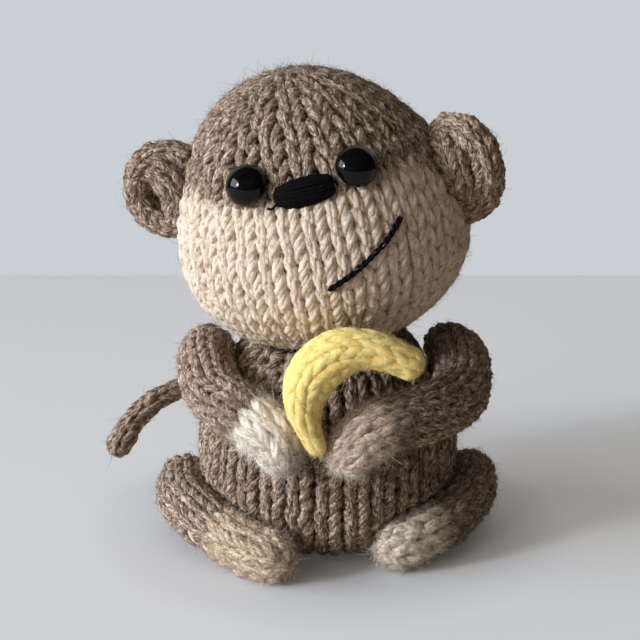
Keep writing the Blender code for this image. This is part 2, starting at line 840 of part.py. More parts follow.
def hang(piece, empty, frame):
    kept = piece.matrix_world.copy()
    piece.parent = empty
    piece.matrix_parent_inverse = frame.inverted()
    piece.matrix_world = kept


def main():
    clear_scene()
    shop = Workshop()
    head_room = make_head_room(shop)
    floor_cutter = make_floor_cutter(shop)
    banana_room = make_banana_room(shop)
    limbs = {"arm_" + side: arm_line(side) for side in ARM_ROUTES}
    limbs.update({"leg_" + side: leg_line(side) for side in LEG_ROUTES})
    limbs["tail"] = tail_line()
    make_body(shop, head_room, floor_cutter, limbs)
    make_eyes(shop, make_head(shop))
    make_nose_and_mouth(shop, head_room)
    make_ears(shop, head_room)
    make_arms(shop, limbs, head_room, banana_room)
    make_legs(shop, limbs, floor_cutter)
    shop.part("tail", tube(*rounded_ends(*limbs["tail"]), CORE_SIDES), "brown_yarn")
    make_banana(shop)
    hang_on_joints(shop, limbs)


main()
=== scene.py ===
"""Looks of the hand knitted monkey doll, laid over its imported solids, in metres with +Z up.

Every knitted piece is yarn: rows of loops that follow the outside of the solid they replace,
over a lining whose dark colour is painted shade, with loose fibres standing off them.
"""

import json
import math

import bpy
import numpy as np
from mathutils import Matrix, Vector

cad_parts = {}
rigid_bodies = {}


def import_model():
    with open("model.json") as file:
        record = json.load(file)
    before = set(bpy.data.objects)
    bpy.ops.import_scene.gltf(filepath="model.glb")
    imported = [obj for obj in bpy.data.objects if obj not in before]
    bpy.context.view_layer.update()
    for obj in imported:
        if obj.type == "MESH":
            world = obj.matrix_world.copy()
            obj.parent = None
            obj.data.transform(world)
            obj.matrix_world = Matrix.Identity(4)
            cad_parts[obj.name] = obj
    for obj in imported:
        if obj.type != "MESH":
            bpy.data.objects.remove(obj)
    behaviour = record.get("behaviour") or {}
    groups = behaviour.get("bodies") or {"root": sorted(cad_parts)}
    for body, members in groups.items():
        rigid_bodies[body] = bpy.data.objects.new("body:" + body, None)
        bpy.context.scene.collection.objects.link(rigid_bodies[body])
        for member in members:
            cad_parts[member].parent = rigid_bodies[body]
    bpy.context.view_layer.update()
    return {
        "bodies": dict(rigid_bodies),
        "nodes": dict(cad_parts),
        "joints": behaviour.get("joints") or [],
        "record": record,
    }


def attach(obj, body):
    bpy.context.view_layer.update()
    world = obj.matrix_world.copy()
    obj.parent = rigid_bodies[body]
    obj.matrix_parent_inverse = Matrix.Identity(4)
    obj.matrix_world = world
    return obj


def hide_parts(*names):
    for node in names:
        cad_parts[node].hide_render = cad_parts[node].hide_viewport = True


# The shapes of the solids, as the part has them. An azimuth is in degrees round the upright
# axis, from the doll's front towards its left.
GAP = 0.0003
FABRIC = 0.002
STUFFING_INSET = FABRIC + GAP
BODY_RADIUS = 0.0302
BODY_WIDEST_HEIGHT = 0.021
BODY_TOP_HEIGHT = 0.057
PRESSED_DEPTH = 0.0005
BODY_LOWER_POWER = 3.4
BODY_UPPER_POWER = 1.8
HEAD_RADIUS = 0.033
CROWN_HEIGHT = 0.0383
CHIN_DEPTH = 0.025
CROWN_POWER = 1.94
CHIN_POWER = 2.16
CROWN_LEAN = 0.003
HEAD_ROLL_DEG = 9.5
CHIN_ABOVE_FLOOR_SHARE = 0.833
CHIN_SIDE = 0.0032
CHIN_FORWARD = 0.002
YARN_CHANGE_SHARE = 0.395

# The face: places are (azimuth, share of the crown's height)
EYE_RADIUS = 0.0046
EYE_DOME = 0.0042
EYE_RIM = 0.0006
SHANK_RADIUS = 0.0015
SHANK_LENGTH = 0.009
EYES = {"right": (-26, 0.497), "left": (22.3, 0.507)}
NOSE_RADIUS = 0.0031
NOSE_SUNK_SHARE = 0.2
NOSE_PLACES = ((-12.5, 0.428), (-7.5, 0.433), (-2, 0.440), (4, 0.448), (8.5, 0.452))
NOSE_PLUMP_SHARES = (0.68, 0.94, 1.0, 0.96, 0.78)
NOSE_BLUNT = 0.5
NOSE_THREADS = 25
NOSE_THREAD_RADIUS = 0.00029
NOSE_SPREAD_DEG = 118
NOSE_LOOSE_END = ((-13.5, 0.392), (-15.5, 0.372), (-17.5, 0.374))
NOSE_LOOSE_RAISED = 0.0004
MOUTH_RADIUS = 0.0007
MOUTH_RAISED_SHARE = 0.35
MOUTH_TWIST_PITCH = 0.0034
MOUTH_PLACES = (
    (0.5, -0.107), (8, -0.055), (14.5, -0.003), (20, 0.05), (24.5, 0.092), (29, 0.145), (33, 0.198),
)

EAR_RADIUS = 0.0112
EAR_WIDTH_SHARE = 0.92
EAR_DEPTH = 0.0082
EAR_FABRIC = 0.0042
EAR_RIM_SHARE = 1.38
EAR_SETTING = {
    "right": {"azimuth": -88, "height_share": 0.42, "out_share": 0.22, "turn_deg": 8, "size_share": 1},
    "left": {"azimuth": 78, "height_share": 0.30, "out_share": 0.17, "turn_deg": -30, "size_share": 1.1},
}
# How each ear's flap curls inside its rim, in shares of the ear's radius: right, up, out
EAR_FOLDS = {
    "right": (
        (-0.38, 0.38, -0.04), (-0.05, 0.34, 0.10), (0.18, 0.08, 0.16),
        (0.20, -0.26, 0.12), (0.04, -0.62, 0.0),
    ),
    "left": (
        (-0.34, 0.50, 0.04), (-0.02, 0.40, 0.22), (0.16, 0.06, 0.28),
        (0.14, -0.32, 0.22), (-0.06, -0.64, 0.06),
    ),
}
EAR_FOLD_RADII = {"right": 0.0037, "left": 0.0038}
EAR_FOLD_SWELL_SHARES = (0.8, 1, 1.05, 1, 0.8)

# Limbs: an arm's route is (azimuth, share of the body's height, share of a radius pressed in), and a
# leg's is (azimuth, distance as a share of the body's radius, height as a share of the leg's radius)
ARM_RADIUS = 0.0067
ARM_SWELL_SHARES = (0.92, 1.0, 1.03, 1.02, 1.0, 0.97, 0.93, 0.84)
ARM_ROUTES = {
    "right": (
        (-92, 0.765, 0.35), (-81, 0.760, 0.35), (-67, 0.730, 0.35), (-53, 0.690, 0.25),
        (-38, 0.668, 0.1), (-27, 0.638, 0), (-20, 0.597, 0), (-17.5, 0.553, 0),
    ),
    "left": (
        (95, 0.765, 0.25), (86, 0.745, 0.15), (76, 0.705, 0.15), (60, 0.660, 0.1),
        (41, 0.655, 0), (23, 0.645, 0), (12.5, 0.606, 0), (8, 0.553, 0),
    ),
}
LEG_RADIUS = 0.0065
LEG_SWELL_SHARES = (0.97, 1.02, 1.0, 0.97, 0.97, 0.95)
LEG_ROUTES = {
    "right": (
        (-92, 1.11, 1.69), (-80, 1.125, 1.54), (-66, 1.09, 1.36),
        (-50, 1.055, 1.12), (-34.5, 1.075, 0.95), (-22, 1.125, 0.90),
    ),
    "left": (
        (98, 1.13, 1.69), (85, 1.095, 1.54), (69, 1.045, 1.36),
        (53, 1.01, 1.16), (40, 0.98, 1.0), (33, 0.965, 0.90),
    ),
}
# Where each limb is cut, as a share of its length
CUT_SHARES = {
    "arm": {"right": 0.70, "left": 0.73},
    "leg": {"right": 0.60, "left": 0.53},
}
TAIL_LENGTH = 0.050
TAIL_RADIUS = 0.0027
TAIL_ROOT = (-160, 0.36)
TAIL_PRESSED_SHARE = 0.45
TAIL_ROUTE_SHARES = (
    (0, 0, 0), (-0.10, 0.09, 0.04), (-0.26, 0.09, 0.07), (-0.44, 0.0, 0.09),
    (-0.60, -0.10, 0.06), (-0.72, -0.18, -0.02), (-0.80, -0.23, -0.14),
)
TAIL_SWELL_SHARES = (0.95, 0.95, 1.0, 1.0, 1.05, 1.2, 1.25)
BANANA_BEND_RADIUS = 0.0113
BANANA_RADIUS = 0.0047
BANANA_OPENING_SHARE = 0.22
BANANA_ANGLES_DEG = (232, 38)
BANANA_CENTRE_SIDE = 0.0062
BANANA_CENTRE_SHARE = 0.772
BANANA_FORWARD = 0.0008
BANANA_SWELL_SHARES = (0.42, 0.62, 0.88, 1.0, 1.02, 1.0, 0.93, 0.84, 0.72)
BANANA_PLUMP_SHARES = (1, 1, 1.05, 1.12, 1.14, 1.10, 1.04, 1.02, 1.04)

# The knitting: wale and row pitch and the yarn's radius
GAUGES = {
    "head": (0.00576, 0.0040, 0.00132),
    "body": (0.0068, 0.0031, 0.00136),
    "foot": (0.0064, 0.0044, 0.00138),
    "limb": (0.0053, 0.0036, 0.00122),
    "ear": (0.0050, 0.0034, 0.00118),
    "tail": (0.0042, 0.0033, 0.00100),
    "banana": (0.0049, 0.0034, 0.00132),
}
LOOP_POINTS = 18
LOOP_SWING = 0.21
LOOP_PULL = 0.02
ROPE_PULL = 0.03
ROPE_SWING = 0.175
LOOP_REACH = 0.92
LOOP_RISE = 0.6
SWAY_SHARE = 0.7
SQUEEZE_SLACK = 1.12
STITCH_JITTER = 0.07
LUMP = 0.0003
LUMP_LENGTH = 0.012
EAR_LUMPS = {"right": 0.0007, "left": 0.0012}
PLIES = 4
PLY_SIDES = 5
STRAND_SIDES = 8
PLY_PITCH = 0.0105
PLY_OFFSET = 0.41
PLY_SIZE = 0.62
LINING_GAP = 0.0001
BANANA_LINING_DEPTH = 0.0008
LINE_POINTS = 90
PROFILE_POINTS = 60
# Heights where the knitting of the body and of the head is parted into pieces
BODY_BASE_HEIGHT = 0.004
BODY_EDGE_HEIGHT = BODY_TOP_HEIGHT * 0.93
CROWN_PART_HEIGHT = CROWN_HEIGHT * 0.78
CHIN_PART_HEIGHT = -CHIN_DEPTH * 0.35
# Yarn that is deeper in the head than these shares of its outside is left out
BODY_KEPT_SHARE = 0.93
EAR_KEPT_SHARE = 0.97

# How the fabric gives way: more room under the head, the stuffing well behind every dent, and
# a little air over the table
COLLAR_ROOM = 0.0005
FILL_ROOM = 0.0038
FLOOR_GAP = 0.0001
FLOOR_SPREAD = 1.06
HEAD_FILL_INSET = 0.0004
NEAR_LIMB = 0.014
POINTS_AT_A_TIME = 8000

# Loose fibres: reaches and places are shares of a fibre's length or of its yarn's radius
FIBRE_SIDES = 3
FIBRE_WIDTH = 0.000034
FIBRE_LENGTH = 0.0016
FIBRE_LIFT = 0.5
FIBRE_SHORTEST, FIBRE_LONGEST = 0.3, 1.15
FIBRE_TURN = 0.9
FIBRE_BEND = 0.45
FIBRE_FALL = 0.28
FIBRE_TAPER = (1, 0.85, 0.3)
FIBRE_DEPTH, FIBRE_SIDEWAYS = 0.75, 0.6
STRAY_SHARE = 0.03
STRAY_STRETCH = 1.8
STRAY_LIFT = 0.5
# The number and length of fibres on a limb's first and second part
LIMB_FIBRES = ((5500, 0.0016), (12000, 0.0020))

# Where brown yarn gives way to pale: (azimuth, share of the crown's height) round the head,
# and shares of each limb's length
FACE_BORDER = (
    (-180, 0.38), (-77, 0.40), (-53, 0.42), (-30, 0.385), (-17, 0.36), (-3, 0.395), (7, 0.365),
    (21, 0.41), (40, 0.45), (53, 0.41), (67, 0.30), (80, 0.18), (110, 0.22), (180, 0.38),
)
FACE_BORDER_WANDER = 0.0008
FACE_BORDER_BLEND = 0.0026
LIMB_BORDERS = {
    "right_arm": (0.64, 0.70),
    "left_arm": (0.72, 0.78),
    "right_leg": (0.60, 0.65),
    "left_leg": (0.57, 0.66),
}
LIMB_BORDER_WANDER = 0.02
# Brown in the pale ends: a stripe of painted shade down the right paw's side, the left paw's top, odd
# stitches on the feet
PAW_SHADE_STRIPE = (-0.0100, -0.0045)
PAW_SHADE_STRIPE_BLEND = 0.0015
PAW_SHADE_STRIPE_SHARE = 0.5
PAW_TOP_BLEND = 0.004
PAW_TOP_SHARE = 0.3
FOOT_SHARE = 0.14

# Each yarn's dark, middle and light fibres, and the tint of the painted shade where it lies deep in the
# fabric
PALETTES = {
    "brown": ((0.060, 0.033, 0.020), (0.33, 0.235, 0.165), (0.82, 0.68, 0.55)),
    # A darker brown, for the body and the right ear, and as painted shade on the left arm
    "umber": ((0.050, 0.028, 0.017), (0.29, 0.205, 0.145), (0.78, 0.64, 0.52)),
    "cream": ((0.58, 0.40, 0.26), (0.84, 0.715, 0.58), (0.88, 0.81, 0.73)),
    "tan": ((0.44, 0.27, 0.14), (0.80, 0.65, 0.48), (0.93, 0.84, 0.71)),
    # Copies for the doll's left side: the paw's pale darkened as painted shade, and the foot's cream paled,
    # partly its own colour and partly painted light in the shade
    "rose": ((0.52, 0.31, 0.20), (0.86, 0.70, 0.57), (0.98, 0.92, 0.85)),
    "sand": ((0.58, 0.42, 0.28), (0.93, 0.83, 0.69), (0.99, 0.94, 0.84)),
    "pale": ((0.82, 0.69, 0.56), (0.99, 0.91, 0.81), (1.0, 0.97, 0.91)),
    "yellow": ((0.97, 0.54, 0.07), (0.99, 0.81, 0.29), (0.995, 0.90, 0.48)),
    "black": ((0.0015, 0.0015, 0.002), (0.003, 0.003, 0.0035), (0.010, 0.010, 0.012)),
}
STREAK_PLACES = (0.28, 0.50, 0.74)
# The tint of each yarn's painted depth shade
DEPTH_SHADE_TINTS = {
    "brown": (0.10, 0.07, 0.05),
    "umber": (0.08, 0.055, 0.04),
    "cream": (0.78, 0.60, 0.43),
    "tan": (0.56, 0.38, 0.20),
    "rose": (0.70, 0.50, 0.38),
    "sand": (0.80, 0.62, 0.45),
    "pale": (0.90, 0.78, 0.66),
    "yellow": (1.0, 0.90, 0.62),
    "black": (0.5, 0.5, 0.5),
}
FIBRE_COLOURS = {
    "brown": (0.34, 0.25, 0.19),
    "cream": (0.80, 0.68, 0.56),
    "tan": (0.68, 0.55, 0.43),
    "rose": (0.82, 0.68, 0.57),
    "sand": (0.80, 0.70, 0.58),
    "pale": (0.94, 0.86, 0.77),
    "yellow": (0.98, 0.82, 0.40),
}
# Each limb's two yarns, and how much its dark and light fibres differ. The left arm, turned from the
# window, has darker copies of its yarns as painted shade; the left foot's paler cream is partly its own
# colour and partly painted light in the body's shadow.
LIMB_YARNS = {
    "arm_right": ("brown", "pale", 2.2),
    "arm_left": ("umber", "rose", 2.4),
    "leg_right": ("brown", "tan", 2.7),
    "leg_left": ("brown", "sand", 2.2),
}
SHADER_INPUTS = {
    "colour": "Base Color",
    "roughness": "Roughness",
    "normal": "Normal",
    "specular": "Specular IOR Level",
    "sheen": "Sheen Weight",
    "sheen_roughness": "Sheen Roughness",
}

# The view and the stage. The camera sees colours of their own on the table and the walls.
CAMERA_TARGET = Vector((-0.00184, 0, 0.0509))
CAMERA_DISTANCE = 0.450
CAMERA_ELEVATION_DEG = 17
CAMERA_LENS_MM = 110.1
TABLE_FAR, TABLE_NEAR, TABLE_SIDE = 0.219, -1.2, 1.6
TABLE_COLOURS = ((0.64, 0.57, 0.49), (0.67, 0.695, 0.735), (0.18, 0.174, 0.163))
# Painted shade: the table's seen colour darkens from this distance back to its far edge, down to the share
# below
TABLE_SHADE_FROM = 0.12
TABLE_FAR_SHADE_SHARE = 0.93
# Painted shadow: the table's glow falls to this share near the doll and comes back in full between these two
# distances from its middle
CONTACT_SHADOW_GLOW_SHARE = 0.3
CONTACT_SHADOW_INNER, CONTACT_SHADOW_OUTER = 0.032, 0.058
WALL_COLOURS = ((0.34, 0.30, 0.26), (0.03, 0.03, 0.03), (0.575, 0.605, 0.635))
ROOM_SIDE, ROOM_BACK, ROOM_FRONT, ROOM_BOTTOM, ROOM_TOP = 4, 3, -4, -3, 4

# A broad low window far off on the left, with one bright pane, and a dim warm room: each lamp's
# place, size, power and colour
LAMPS = {
    "window": ((-5.36, -0.94, 1.70), (4.0, 2.6), 252, (0.90, 0.975, 1.08)),
    "pane": ((-4.72, -2.72, 1.71), (0.95, 0.95), 172, (0.92, 0.98, 1.06)),
    "room": ((-1.60, -1.60, 1.10), (1.6, 1.6), 17, (1.0, 0.95, 0.88)),
    "ceiling": ((0.0, 0.0, 1.6), (1.5, 1.5), 3.8, (1.0, 0.93, 0.84)),
}
UNREFLECTED_LAMPS = ("room", "ceiling")
LAMP_TARGET = Vector((0, 0, 0.05))
AIR_COLOUR = (1.0, 0.78, 0.55, 1)
AIR_STRENGTH = 0.035

TAU = 2 * math.pi
UP = np.array([0, 0, 1])


# Small tools

def unit(vectors):
    return vectors / np.maximum(np.linalg.norm(vectors, axis=-1, keepdims=True), 1e-12)


def smooth(values, shares):
    """Reads evenly spaced values, numbers or vectors, at shares of the way along them."""
    values = np.asarray(values, float)
    shares = np.asarray(shares, float)
    place = np.clip(shares, 0, 1) * (len(values) - 1)
    i = np.minimum(place.astype(int), len(values) - 2)
    t = place - i
    if values.ndim > 1:
        t = t[:, None]
    start, end = values[i], values[i + 1]
    before, after = values[np.maximum(i - 1, 0)], values[np.minimum(i + 2, len(values) - 1)]
    first = (i == 0).reshape(t.shape)
    last = (i + 2 > len(values) - 1).reshape(t.shape)
    rise_0 = np.where(first, end - start, (end - before) / 2)
    rise_1 = np.where(last, end - start, (after - start) / 2)
    return (
        start * (2 * t**3 - 3 * t**2 + 1)
        + rise_0 * (t**3 - 2 * t**2 + t)
        + end * (3 * t**2 - 2 * t**3)
        + rise_1 * (t**3 - t**2)
    )


def arc_lengths(points):
    """How far along a line each of its points lies."""
    return np.concatenate([[0], np.cumsum(np.linalg.norm(np.diff(points, axis=0), axis=1))])


def outline_of(profile):
    """How far along a profile from axis to axis each point lies, and the way out of it there."""
    v = arc_lengths(profile)
    along = unit(np.gradient(profile, v, axis=0))
    along[0], along[-1] = (1, 0), (-1, 0)
    return v, np.stack([along[:, 1], -along[:, 0]], 1)


def placed(matrix, points):
    matrix = np.array(matrix)
    return points @ matrix[:3, :3].T + matrix[:3, 3]


def turned_by(matrix, directions):
    return unit(directions @ np.array(matrix)[:3, :3].T)


def quarter(radius, reach, power, shares):
    """One quarter of a swollen curve: (radius, height) at shares of the way to its pole."""
    angles = np.asarray(shares) * math.pi / 2
    across = np.abs(np.cos(angles)) ** (2 / power)
    along = np.abs(np.sin(angles)) ** (2 / power)
    return np.stack([radius * across, reach * along], 1)


# The shapes that the yarn lies on: at(u, v, out) gives places and the way out of the shape

class Turned:
    """A shape turned round Z: v runs up its profile from the bottom, u once round from the back."""

    def __init__(self, profile, matrix=None, lean=0):
        step = np.linalg.norm(np.diff(profile, axis=0), axis=1)
        self.profile = profile[np.concatenate([[True], step > 1e-7])]
        self.v, self.normal = outline_of(self.profile)
        self.length = self.v[-1]
        self.matrix = matrix if matrix is not None else Matrix.Identity(4)
        self.lean = lean

    def girth(self, v):
        return TAU * np.interp(v, self.v, self.profile[:, 0])

    def v_at_height(self, height):
        return float(np.interp(height, self.profile[:, 1], self.v))

    def at(self, u, v, out):
        angle = TAU * u + math.pi
        radial = np.stack([np.sin(angle), -np.cos(angle), np.zeros_like(angle)], 1)
        n_r, n_h = (np.interp(v, self.v, self.normal[:, k]) for k in range(2))
        radius = np.maximum(np.interp(v, self.v, self.profile[:, 0]) + n_r * out, 0)
        height = np.interp(v, self.v, self.profile[:, 1]) + n_h * out
        points = radial * radius[:, None] + UP * height[:, None]
        points[:, 0] -= self.lean * (np.maximum(height, 0) / CROWN_HEIGHT) ** 2
        normals = radial * n_r[:, None] + UP * n_h[:, None]
        return placed(self.matrix, points), turned_by(self.matrix, normals)


class Limb:
    """A round limb on a curved line: v runs along its skin from its first end, u once round."""

    def __init__(self, line, radii):
        arc = arc_lengths(line)
        tangent = unit(np.gradient(line, arc, axis=0))
        side = unit(np.cross(tangent[0], (0.02, 0.01, 1)))
        sides = [side]
        for along in tangent[1:]:
            side = unit(side - along * np.dot(side, along))
            sides.append(side)
        first, last, reach = radii[0], radii[-1], 2 * max(radii)
        self.arc = np.concatenate([[-reach], arc, [arc[-1] + reach]])
        self.line = np.vstack([line[0] - tangent[0] * reach, line, line[-1] + tangent[-1] * reach])
        self.tangent = np.vstack([tangent[:1], tangent, tangent[-1:]])
        self.side = np.vstack([sides[:1], sides, sides[-1:]])
        bend = np.linspace(0, math.pi / 2, 12, endpoint=False)
        start = np.stack([first * np.sin(bend), -first * np.cos(bend)], 1)
        body = np.stack([radii, arc], 1)
        end = np.stack([last * np.cos(bend[1:]), arc[-1] + last * np.sin(bend[1:])], 1)
        self.profile = np.vstack([start, body, end, [[0, arc[-1] + last]]])
        self.v, self.normal = outline_of(self.profile)
        self.length = self.v[-1]
        self.core = (line, np.asarray(radii))

    def girth(self, v):
        return TAU * np.interp(v, self.v, self.profile[:, 0])

    def v_at_share(self, share):
        arc = self.arc[1] + share * (self.arc[-2] - self.arc[1])
        return float(np.interp(arc, self.profile[:, 1], self.v))

    def read(self, table, arc):
        return np.stack([np.interp(arc, self.arc, table[:, k]) for k in range(3)], 1)

    def at(self, u, v, out):
        radius, arc = (np.interp(v, self.v, self.profile[:, k]) for k in range(2))
        n_r, n_a = (np.interp(v, self.v, self.normal[:, k]) for k in range(2))
        tangent, side = unit(self.read(self.tangent, arc)), self.read(self.side, arc)
        side = unit(side - tangent * np.sum(side * tangent, 1, keepdims=True))
        up = np.cross(tangent, side)
        angle = TAU * u
        radial = side * np.cos(angle)[:, None] + up * np.sin(angle)[:, None]
        reach = np.maximum(radius + n_r * out, 0)
        points = self.read(self.line, arc) + radial * reach[:, None] + tangent * (n_a * out)[:, None]
        return points, unit(radial * n_r[:, None] + tangent * n_a[:, None])


class Cup:
    """An ear: u runs over its rim from the hollow to the back, v along the rim."""

    def __init__(self, profile, matrix):
        self.s = arc_lengths(profile)
        self.profile = profile
        slope = unit(np.gradient(profile, self.s, axis=0))
        self.normal = np.stack([-slope[:, 1], slope[:, 0]], 1)
        self.reference = profile[:, 0].max() * 0.9
        self.length = TAU * self.reference
        self.matrix = matrix

    def girth(self, v):
        return self.s[-1] + 0 * v

    def at(self, u, v, out):
        s = u * self.s[-1]
        n_r, n_h = (np.interp(s, self.s, self.normal[:, k]) for k in range(2))
        radius = np.maximum(np.interp(s, self.s, self.profile[:, 0]) + n_r * out, 0.0004)
        height = np.interp(s, self.s, self.profile[:, 1]) + n_h * out
        angle = v / self.reference
        radial = np.stack([np.cos(angle), np.sin(angle), np.zeros_like(angle)], 1)
        points = radial * radius[:, None] + UP * height[:, None]
        normals = radial * n_r[:, None] + UP * n_h[:, None]
        return placed(self.matrix, points), turned_by(self.matrix, normals)


# The doll's shapes

def egg_profile(radius, depth, lower_power, height, upper_power):
    """(radius, height) up a swollen shape, from its bottom to its top, over its widest ring."""
    shares = np.linspace(0, 1, PROFILE_POINTS)
    below = quarter(radius, depth, lower_power, shares)
    below[:, 1] *= -1
    above = quarter(radius, height, upper_power, shares)
    return np.vstack([below[::-1], above[1:]])


def body_shape():
    depth, height = BODY_WIDEST_HEIGHT + PRESSED_DEPTH, BODY_TOP_HEIGHT - BODY_WIDEST_HEIGHT
    profile = egg_profile(BODY_RADIUS, depth, BODY_LOWER_POWER, height, BODY_UPPER_POWER)
    return Turned(profile + (0, BODY_WIDEST_HEIGHT))


def head_frame():
    roll = Matrix.Rotation(-math.radians(HEAD_ROLL_DEG), 4, "Y")
    chin = Vector((CHIN_SIDE, -CHIN_FORWARD, BODY_TOP_HEIGHT * CHIN_ABOVE_FLOOR_SHARE))
    return Matrix.Translation(chin + roll @ Vector((0, 0, CHIN_DEPTH))) @ roll


def head_shape():
    profile = egg_profile(HEAD_RADIUS, CHIN_DEPTH, CHIN_POWER, CROWN_HEIGHT, CROWN_POWER)
    return Turned(profile, head_frame(), CROWN_LEAN)


def body_radius_at(height):
    share = np.where(
        height > BODY_WIDEST_HEIGHT,
        (height - BODY_WIDEST_HEIGHT) / (BODY_TOP_HEIGHT - BODY_WIDEST_HEIGHT),
        (BODY_WIDEST_HEIGHT - height) / (BODY_WIDEST_HEIGHT + PRESSED_DEPTH),
    )
    power = np.where(height > BODY_WIDEST_HEIGHT, BODY_UPPER_POWER, BODY_LOWER_POWER)
    return BODY_RADIUS * np.maximum(1 - np.minimum(share, 1) ** power, 0) ** (1 / power)


def resting_distance(height, radius):
    """How far from the body's axis a ball lies when it is pushed against the body."""
    rise = (radius + GAP) * np.linspace(-1, 1, 53)
    across = np.sqrt(np.maximum((radius + GAP) ** 2 - rise**2, 0))
    return float(np.max(body_radius_at(height + rise) + across))


def around_body(azimuth_deg, height, distance):
    angle = math.radians(azimuth_deg)
    return (distance * math.sin(angle), -distance * math.cos(angle), height)


def limb_shape(places, radii):
    shares = np.linspace(0, 1, LINE_POINTS)
    return Limb(smooth(places, shares), smooth(radii, shares))


def arm_shape(side):
    radii = [ARM_RADIUS * share for share in ARM_SWELL_SHARES]
    places = []
    for (azimuth, height_share, pressed), radius in zip(ARM_ROUTES[side], radii):
        height = BODY_TOP_HEIGHT * height_share
        distance = resting_distance(height, radius) - ARM_RADIUS * pressed
        places.append(around_body(azimuth, height, distance))
    return limb_shape(places, radii)


def leg_shape(side):
    places = [
        around_body(azimuth, LEG_RADIUS * height_share, BODY_RADIUS * distance_share)
        for azimuth, distance_share, height_share in LEG_ROUTES[side]
    ]
    return limb_shape(places, [LEG_RADIUS * share for share in LEG_SWELL_SHARES])


def tail_shape():
    azimuth, height_share = TAIL_ROOT
    height = BODY_TOP_HEIGHT * height_share
    distance = resting_distance(height, TAIL_RADIUS) - TAIL_RADIUS * TAIL_PRESSED_SHARE
    root = np.array(around_body(azimuth, height, distance))
    places = [root + np.array(share) * TAIL_LENGTH for share in TAIL_ROUTE_SHARES]
    return limb_shape(places, [TAIL_RADIUS * share for share in TAIL_SWELL_SHARES])


def banana_shape():
    height = BODY_TOP_HEIGHT * BANANA_CENTRE_SHARE
    paw_height = BODY_TOP_HEIGHT * ARM_ROUTES["left"][-1][1]
    front = resting_distance(paw_height, ARM_RADIUS) + BANANA_FORWARD
    centre = np.array([BANANA_CENTRE_SIDE, -front, height])
    shares = np.linspace(0, 1, LINE_POINTS)
    first, last = BANANA_ANGLES_DEG
    angles = np.radians(first + (last - first) * shares)
    reach = BANANA_BEND_RADIUS * (1 + BANANA_OPENING_SHARE * (2 * shares - 1) ** 4)
    line = centre + np.stack([reach * np.cos(angles), 0 * angles, reach * np.sin(angles)], 1)
    radii = [BANANA_RADIUS * share * plump for share, plump in zip(BANANA_SWELL_SHARES, BANANA_PLUMP_SHARES)]
    return Limb(line, smooth(radii, shares))


def ear_matrix(side):
    """The ear's own axes: Z out of its cup, Y along the head's axis."""
    setting = EAR_SETTING[side]
    angle = math.radians(setting["azimuth"])
    radial = Vector((math.sin(angle), -math.cos(angle), 0))
    height = CROWN_HEIGHT * setting["height_share"]
    spot, _ = on_head(setting["azimuth"], height)
    forward = Vector((-math.cos(angle), -math.sin(angle), 0))
    if side == "right":
        forward = -forward
    turn = math.radians(setting["turn_deg"])
    facing = forward * math.cos(turn) + radial * math.sin(turn)
    up = Vector((0, 0, 1))
    axes = Matrix((up.cross(facing), up, facing)).transposed().to_4x4()
    squeeze = Matrix.Diagonal((EAR_WIDTH_SHARE, setting["size_share"], 1, 1))
    outward = radial * EAR_RADIUS * setting["out_share"]
    return head_frame() @ Matrix.Translation(Vector(spot) + outward) @ axes @ squeeze


def ear_shape(side):
    inner_radius = EAR_RADIUS - EAR_FABRIC * EAR_RIM_SHARE
    inner_depth = EAR_DEPTH - EAR_FABRIC
    rim = EAR_FABRIC * EAR_RIM_SHARE / 2
    inside = quarter(inner_radius, -inner_depth, 2, np.linspace(0.98, 0, 12))
    angles = np.linspace(0, math.pi, 14)[1:-1]
    over = np.stack([inner_radius + rim - rim * np.cos(angles), rim * np.sin(angles)], 1)
    outside = quarter(EAR_RADIUS, -EAR_DEPTH, 2, np.linspace(0, 0.9, 14))
    return Cup(np.vstack([inside, over, outside]), ear_matrix(side))


def ear_fold(side):
    places = placed(ear_matrix(side), np.array(EAR_FOLDS[side]) * EAR_RADIUS)
    return limb_shape(places, [EAR_FOLD_RADII[side] * share for share in EAR_FOLD_SWELL_SHARES])


def on_head(azimuth_deg, height, outward=0.0):
    """A point on the head's outside and the way out of it, in the head's own axes."""
    angle = math.radians(azimuth_deg)
    radial = np.array([math.sin(angle), -math.cos(angle), 0])
    nudge = HEAD_RADIUS / 26

    def radius_at(h):
        reach, power = (CROWN_HEIGHT, CROWN_POWER) if h > 0 else (CHIN_DEPTH, CHIN_POWER)
        return HEAD_RADIUS * (1 - min(abs(h) / reach, 1) ** power) ** (1 / power)

    slope = (radius_at(height + nudge) - radius_at(height - nudge)) / (2 * nudge)
    normal = unit(radial - np.array([0, 0, slope]))
    spot = radial * radius_at(height) + np.array([0, 0, height])
    spot[0] -= CROWN_LEAN * (max(height, 0) / CROWN_HEIGHT) ** 2
    return spot + normal * outward, normal


# What presses on the yarn: room is how far from it the points stay

def head_share(points):
    """How far out each point is, where 1 is on the head's outside."""
    local = placed(head_frame().inverted(), points)
    local[:, 0] += CROWN_LEAN * (np.maximum(local[:, 2], 0) / CROWN_HEIGHT) ** 2
    across = np.hypot(local[:, 0], local[:, 1]) / HEAD_RADIUS
    above = local[:, 2] > 0
    rise = np.abs(local[:, 2]) / np.where(above, CROWN_HEIGHT, CHIN_DEPTH)
    power = np.where(above, CROWN_POWER, CHIN_POWER)
    return (across**power + rise**power) ** (1 / power)


def outside_head(points, room):
    """Moves points that are too near the head, or inside it, straight out of it."""
    centre = np.array(head_frame().translation)
    away = points - centre
    reach = np.linalg.norm(away, axis=1)
    share = np.maximum(head_share(points), 1e-6)
    wanted = reach / share + room
    moved = centre + away * (wanted / np.maximum(reach, 1e-9))[:, None]
    return np.where((reach < wanted)[:, None], moved, points)


